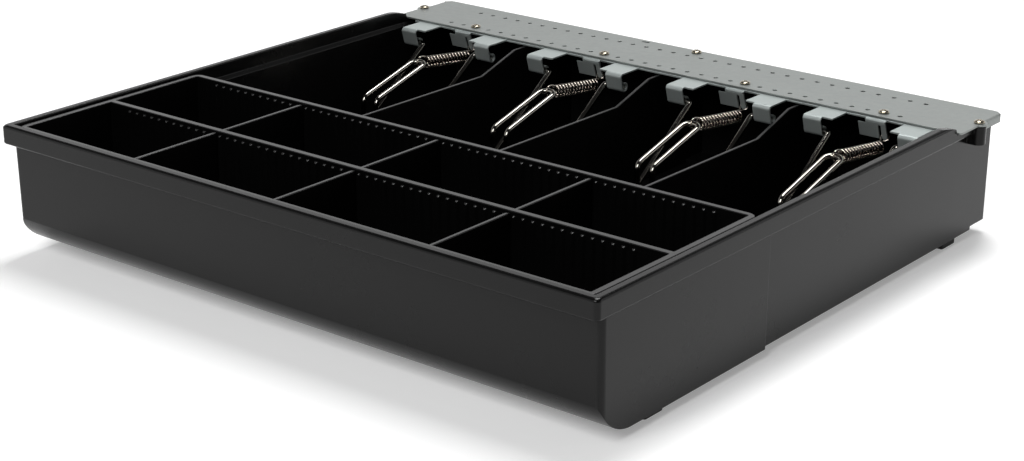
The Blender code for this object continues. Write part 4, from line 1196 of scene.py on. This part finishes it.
def studio_world(strength):
    """A white backdrop behind the tray in a dim room: as bright as it is where seen, softer as a light."""
    world = bpy.data.worlds.new("studio_surroundings")
    world.use_nodes = True
    tree = world.node_tree
    towards = add(tree, "ShaderNodeSeparateXYZ", {0: add(tree, "ShaderNodeTexCoord").outputs["Generated"]}).outputs
    side = add(tree, "ShaderNodeMath", {0: towards[0], 1: towards[1]}, operation="SUBTRACT").outputs[0]
    dims = []
    for value, (low, high) in ((towards[2], ROOM_OVERHEAD), (side, ROOM_SIDE)):
        span = {"Value": value, "From Min": low, "From Max": high}
        dims.append(add(tree, "ShaderNodeMapRange", span, interpolation_type="SMOOTHSTEP").outputs[0])
    dim = add(tree, "ShaderNodeMath", dict(enumerate(dims)), operation="MAXIMUM").outputs[0]
    lit = two_tone(tree, dim, BACKDROP, ROOM)
    camera = add(tree, "ShaderNodeLightPath").outputs["Is Camera Ray"]
    tones = {0: camera, 6: lit, 7: linear(BACKDROP)}
    colour = add(tree, "ShaderNodeMix", tones, data_type="RGBA").outputs[2]
    amount = add(tree, "ShaderNodeMix", {0: seen_directly(tree), 2: strength, 3: 1.0}).outputs[0]
    fill(tree.nodes["Background"], {"Color": colour, "Strength": amount})
    bpy.context.scene.world = world


def aim(obj, place, towards):
    """Stands a lamp or the camera at a place, looking along a direction."""
    obj.location = place
    obj.rotation_mode = "QUATERNION"
    obj.rotation_quaternion = towards.to_track_quat("-Z", "Y")


def soft_box(name, place, size, power):
    """A rectangular area lamp that faces the tray."""
    data = bpy.data.lights.new(name, "AREA")
    data.shape = "RECTANGLE"
    data.size, data.size_y = size
    data.energy = power
    aim(placed(name, data), place, -Vector(place))


def place_camera():
    """The photograph's view: a long lens from the front right, a little above the tray."""
    data = bpy.data.cameras.new("photo_view")
    data.sensor_width = 36.0
    data.lens = CAMERA_LENS
    turn, tilt = radians(CAMERA_TURN), radians(CAMERA_TILT)
    forward = Vector((-sin(turn) * cos(tilt), cos(turn) * cos(tilt), -sin(tilt)))
    camera = placed("photo_view", data)
    aim(camera, CAMERA_PLACE, forward)
    bpy.context.scene.camera = camera


# Settings


def size_setting(name, description, default, least, most):
    """A size that a user can change, from millimetres."""
    limits = {"default": default * MM, "min": least * MM, "max": most * MM}
    return bpy.props.FloatProperty(name=name, description=description, unit="LENGTH", **limits)


def share_setting(name, description, default):
    """A setting from 0 to 1."""
    return bpy.props.FloatProperty(name=name, description=description, default=default, min=0.0, max=1.0)


def colour_setting(name, description, default):
    """An sRGB hex colour, or two with a space between them."""
    return bpy.props.StringProperty(name=name, description=description, default=default)


class CashTraySizes(bpy.types.PropertyGroup):
    """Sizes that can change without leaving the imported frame."""

    hole_diameter: size_setting("Hole Diameter", "Diameter of the plate's round holes", HOLE_DIAMETER, 1, 4)
    hole_pitch: size_setting("Hole Pitch", "Distance from one hole of a row to the next", HOLE_PITCH, 5, 10)
    clip_wire: size_setting("Clip Wire", "Diameter of the note clips' wire", CLIP_WIRE, 2, 3.4)
    spring_diameter: size_setting("Spring Diameter", "Outer diameter of the clip springs", SPRING_DIAMETER, 6, 9)


class CashTrayColours(bpy.types.PropertyGroup):
    """Two sRGB hex tones for each finish, between which it varies."""

    shell_tones: colour_setting("Shell", "Tones of the tray's satin black plastic", "#0b0b0b #0f0f0f")
    insert_tones: colour_setting("Coin Insert", "Tones of the insert's polished black plastic", "#060606 #0a0a0a")
    plate_tones: colour_setting("Cover Plate", "Tones of the cover's zinc plating", "#8c908e #949896")
    bracket_tones: colour_setting("Bracket", "Tones of the bracket's zinc plating", "#a4acab #b2b9b7")
    clip_tones: colour_setting("Clips", "Tones of the clips' nickel plating", "#8a8781 #a29e98")
    spring_tones: colour_setting("Springs", "Tones of the springs' bare steel", "#a49c93 #bcb4ab")
    screw_tones: colour_setting("Screws", "Tones of the screws' nickel plating", "#9c9484 #b1a998")


class CashTrayStage(bpy.types.PropertyGroup):
    """Floor and light."""

    floor_colour: colour_setting("Floor", "Colour of the paper floor", "#ececec")
    floor_glow: share_setting("Floor Glow", "Extra light of the floor beside the tray", 0.27)
    surroundings: share_setting("Surroundings", "Strength of the white surroundings as a light", 1.0)


class CASHTRAY_OT_shell(bpy.types.Operator):
    """Build the moulded tray"""

    bl_idname = "cashtray.shell"
    bl_label = "Tray Shell"

    def execute(self, context):
        piece = tray_shell()
        polish(piece, materials()["shell"])
        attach(piece, "tray")
        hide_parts("tray_body")
        return {"FINISHED"}


class CASHTRAY_OT_feet(bpy.types.Operator):
    """Build the four rubber feet"""

    bl_idname = "cashtray.feet"
    bl_label = "Rubber Feet"

    def execute(self, context):
        places = [(side * FOOT_X, y, 0.0) for side in (-1, 1) for y in FOOT_YS]
        finish = materials()["rubber"]
        piece = repeated("rubber_feet", rubber_foot(), places, finish)
        polish(piece, finish, FACET_ANGLE)
        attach(piece, "tray")
        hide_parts("foot_front_left", "foot_front_right", "foot_back_left", "foot_back_right")
        return {"FINISHED"}


class CASHTRAY_OT_coin_insert(bpy.types.Operator):
    """Build the lift-out coin insert, its teeth and its six cup dividers"""

    bl_idname = "cashtray.coin_insert"
    bl_label = "Coin Insert"

    def execute(self, context):
        finish = materials()["insert"]
        for piece, angle in ((insert_shell(), None), (toothed_walls(finish), FACET_ANGLE)):
            polish(piece, finish, angle)
            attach(piece, "coin_insert")
            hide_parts("coin_tray")
        for row in insert_rows():
            for side, x in CUP_DIVIDER_XS.items():
                divider = cup_divider(f"cup_divider_{row}_{side}", row, x)
                polish(divider, finish)
                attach(divider, f"divider_{row}_{side}")
                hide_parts(f"coin_divider_{row}_{side}")
        return {"FINISHED"}


class CASHTRAY_OT_cover_plate(bpy.types.Operator):
    """Build the perforated cover plate"""

    bl_idname = "cashtray.cover_plate"
    bl_label = "Cover Plate"

    def execute(self, context):
        piece = cover_plate(context.scene.cash_tray_sizes)
        polish(piece, materials()["plate"])
        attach(piece, "tray")
        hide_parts("cover_plate")
        return {"FINISHED"}


class CASHTRAY_OT_bracket(bpy.types.Operator):
    """Build the bracket with its hinge and hook tabs"""

    bl_idname = "cashtray.bracket"
    bl_label = "Clip Bracket"

    def execute(self, context):
        piece = clip_bracket()
        polish(piece, materials()["bracket"])
        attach(piece, "tray")
        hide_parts("clip_bracket")
        return {"FINISHED"}


class CASHTRAY_OT_clips(bpy.types.Operator):
    """Build the four wire note clips"""

    bl_idname = "cashtray.clips"
    bl_label = "Note Clips"

    def execute(self, context):
        diameter = context.scene.cash_tray_sizes.clip_wire
        finish = materials()["clip"]
        values = {"Diameter": diameter, "Sides": CLIP_SIDES, "Material": finish}
        for number, x in enumerate(CLIP_XS, 1):
            piece = run_tree(path_object(f"wire_clip_{number}", clip_route(x)), wire_tree(), values)
            polish(piece, finish, WIRE_ANGLE)
            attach(piece, f"clip_{number}")
            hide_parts(f"note_clip_{number}")
        return {"FINISHED"}


class CASHTRAY_OT_springs(bpy.types.Operator):
    """Build the four coiled clip springs"""

    bl_idname = "cashtray.springs"
    bl_label = "Clip Springs"

    def execute(self, context):
        sizes = context.scene.cash_tray_sizes
        finish = materials()["spring"]
        values = {"Diameter": SPRING_WIRE * MM, "Sides": SPRING_SIDES, "Material": finish}
        for number, x in enumerate(CLIP_XS, 1):
            route = path_object(f"coil_spring_{number}", spring_route(x, sizes))
            piece = run_tree(route, wire_tree(), values)
            polish(piece, finish, WIRE_ANGLE)
            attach(piece, f"spring_{number}")
            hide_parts(f"clip_spring_{number}")
            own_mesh(piece)
        return {"FINISHED"}


class CASHTRAY_OT_screws(bpy.types.Operator):
    """Build the seven pan-head screws"""

    bl_idname = "cashtray.screws"
    bl_label = "Screws"

    def execute(self, context):
        places = [(x, y, PLATE_TOP + GAP) for x, y in PLATE_SCREWS]
        finish = materials()["screw"]
        piece = repeated("pan_head_screws", pan_head_screw(), places, finish)
        polish(piece, finish)
        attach(piece, "tray")
        names = [f"bracket_screw_{i}" for i in range(1, 5)]
        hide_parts(*names, "end_screw_left", "end_screw_right", "back_screw")
        return {"FINISHED"}


class CASHTRAY_OT_stage(bpy.types.Operator):
    """Build the floor, the soft lamps and the camera"""

    bl_idname = "cashtray.stage"
    bl_label = "Stage"

    def execute(self, context):
        settings = context.scene.cash_tray_stage
        data = bpy.data.meshes.new("paper_floor")
        signs = ((-1, -1), (1, -1), (1, 1), (-1, 1))
        data.from_pydata([(x * PAPER_REACH, y * PAPER_REACH, 0) for x, y in signs], [], [(0, 1, 2, 3)])
        data.materials.append(studio_floor(settings.floor_colour, settings.floor_glow))
        placed("paper_floor", data)
        studio_world(settings.surroundings)
        for name, (place, size, power) in SOFT_BOXES.items():
            soft_box(name, place, size, power)
        place_camera()
        context.scene.view_settings.view_transform = "Standard"
        return {"FINISHED"}


class CASHTRAY_PT_panel(bpy.types.Panel):
    """Lists the tray's pieces and settings"""

    bl_idname = "CASHTRAY_PT_panel"
    bl_label = "Cash Register Tray"
    bl_space_type = "VIEW_3D"
    bl_region_type = "UI"
    bl_category = "Cash Tray"

    def draw(self, context):
        for settings, kind in SETTINGS.items():
            column = self.layout.column()
            for name in kind.__annotations__:
                column.prop(getattr(context.scene, settings), name)
        for operator in OPERATORS:
            self.layout.operator(operator.bl_idname)


OPERATORS = (
    CASHTRAY_OT_stage,
    CASHTRAY_OT_shell,
    CASHTRAY_OT_feet,
    CASHTRAY_OT_coin_insert,
    CASHTRAY_OT_cover_plate,
    CASHTRAY_OT_bracket,
    CASHTRAY_OT_clips,
    CASHTRAY_OT_springs,
    CASHTRAY_OT_screws,
)
SETTINGS = {
    "cash_tray_sizes": CashTraySizes,
    "cash_tray_colours": CashTrayColours,
    "cash_tray_stage": CashTrayStage,
}
CLASSES = (*SETTINGS.values(), *OPERATORS, CASHTRAY_PT_panel)


def register():
    for item in CLASSES:
        bpy.utils.register_class(item)
    for name, kind in SETTINGS.items():
        setattr(bpy.types.Scene, name, bpy.props.PointerProperty(type=kind))


def unregister():
    for name in SETTINGS:
        delattr(bpy.types.Scene, name)
    for item in reversed(CLASSES):
        bpy.utils.unregister_class(item)


def main():
    register()
    bpy.ops.cashtray.stage()
    bpy.ops.cashtray.shell()
    bpy.ops.cashtray.feet()
    bpy.ops.cashtray.coin_insert()
    bpy.ops.cashtray.cover_plate()
    bpy.ops.cashtray.bracket()
    bpy.ops.cashtray.clips()
    bpy.ops.cashtray.springs()
    bpy.ops.cashtray.screws()


if __name__ == "__main__":
    main()
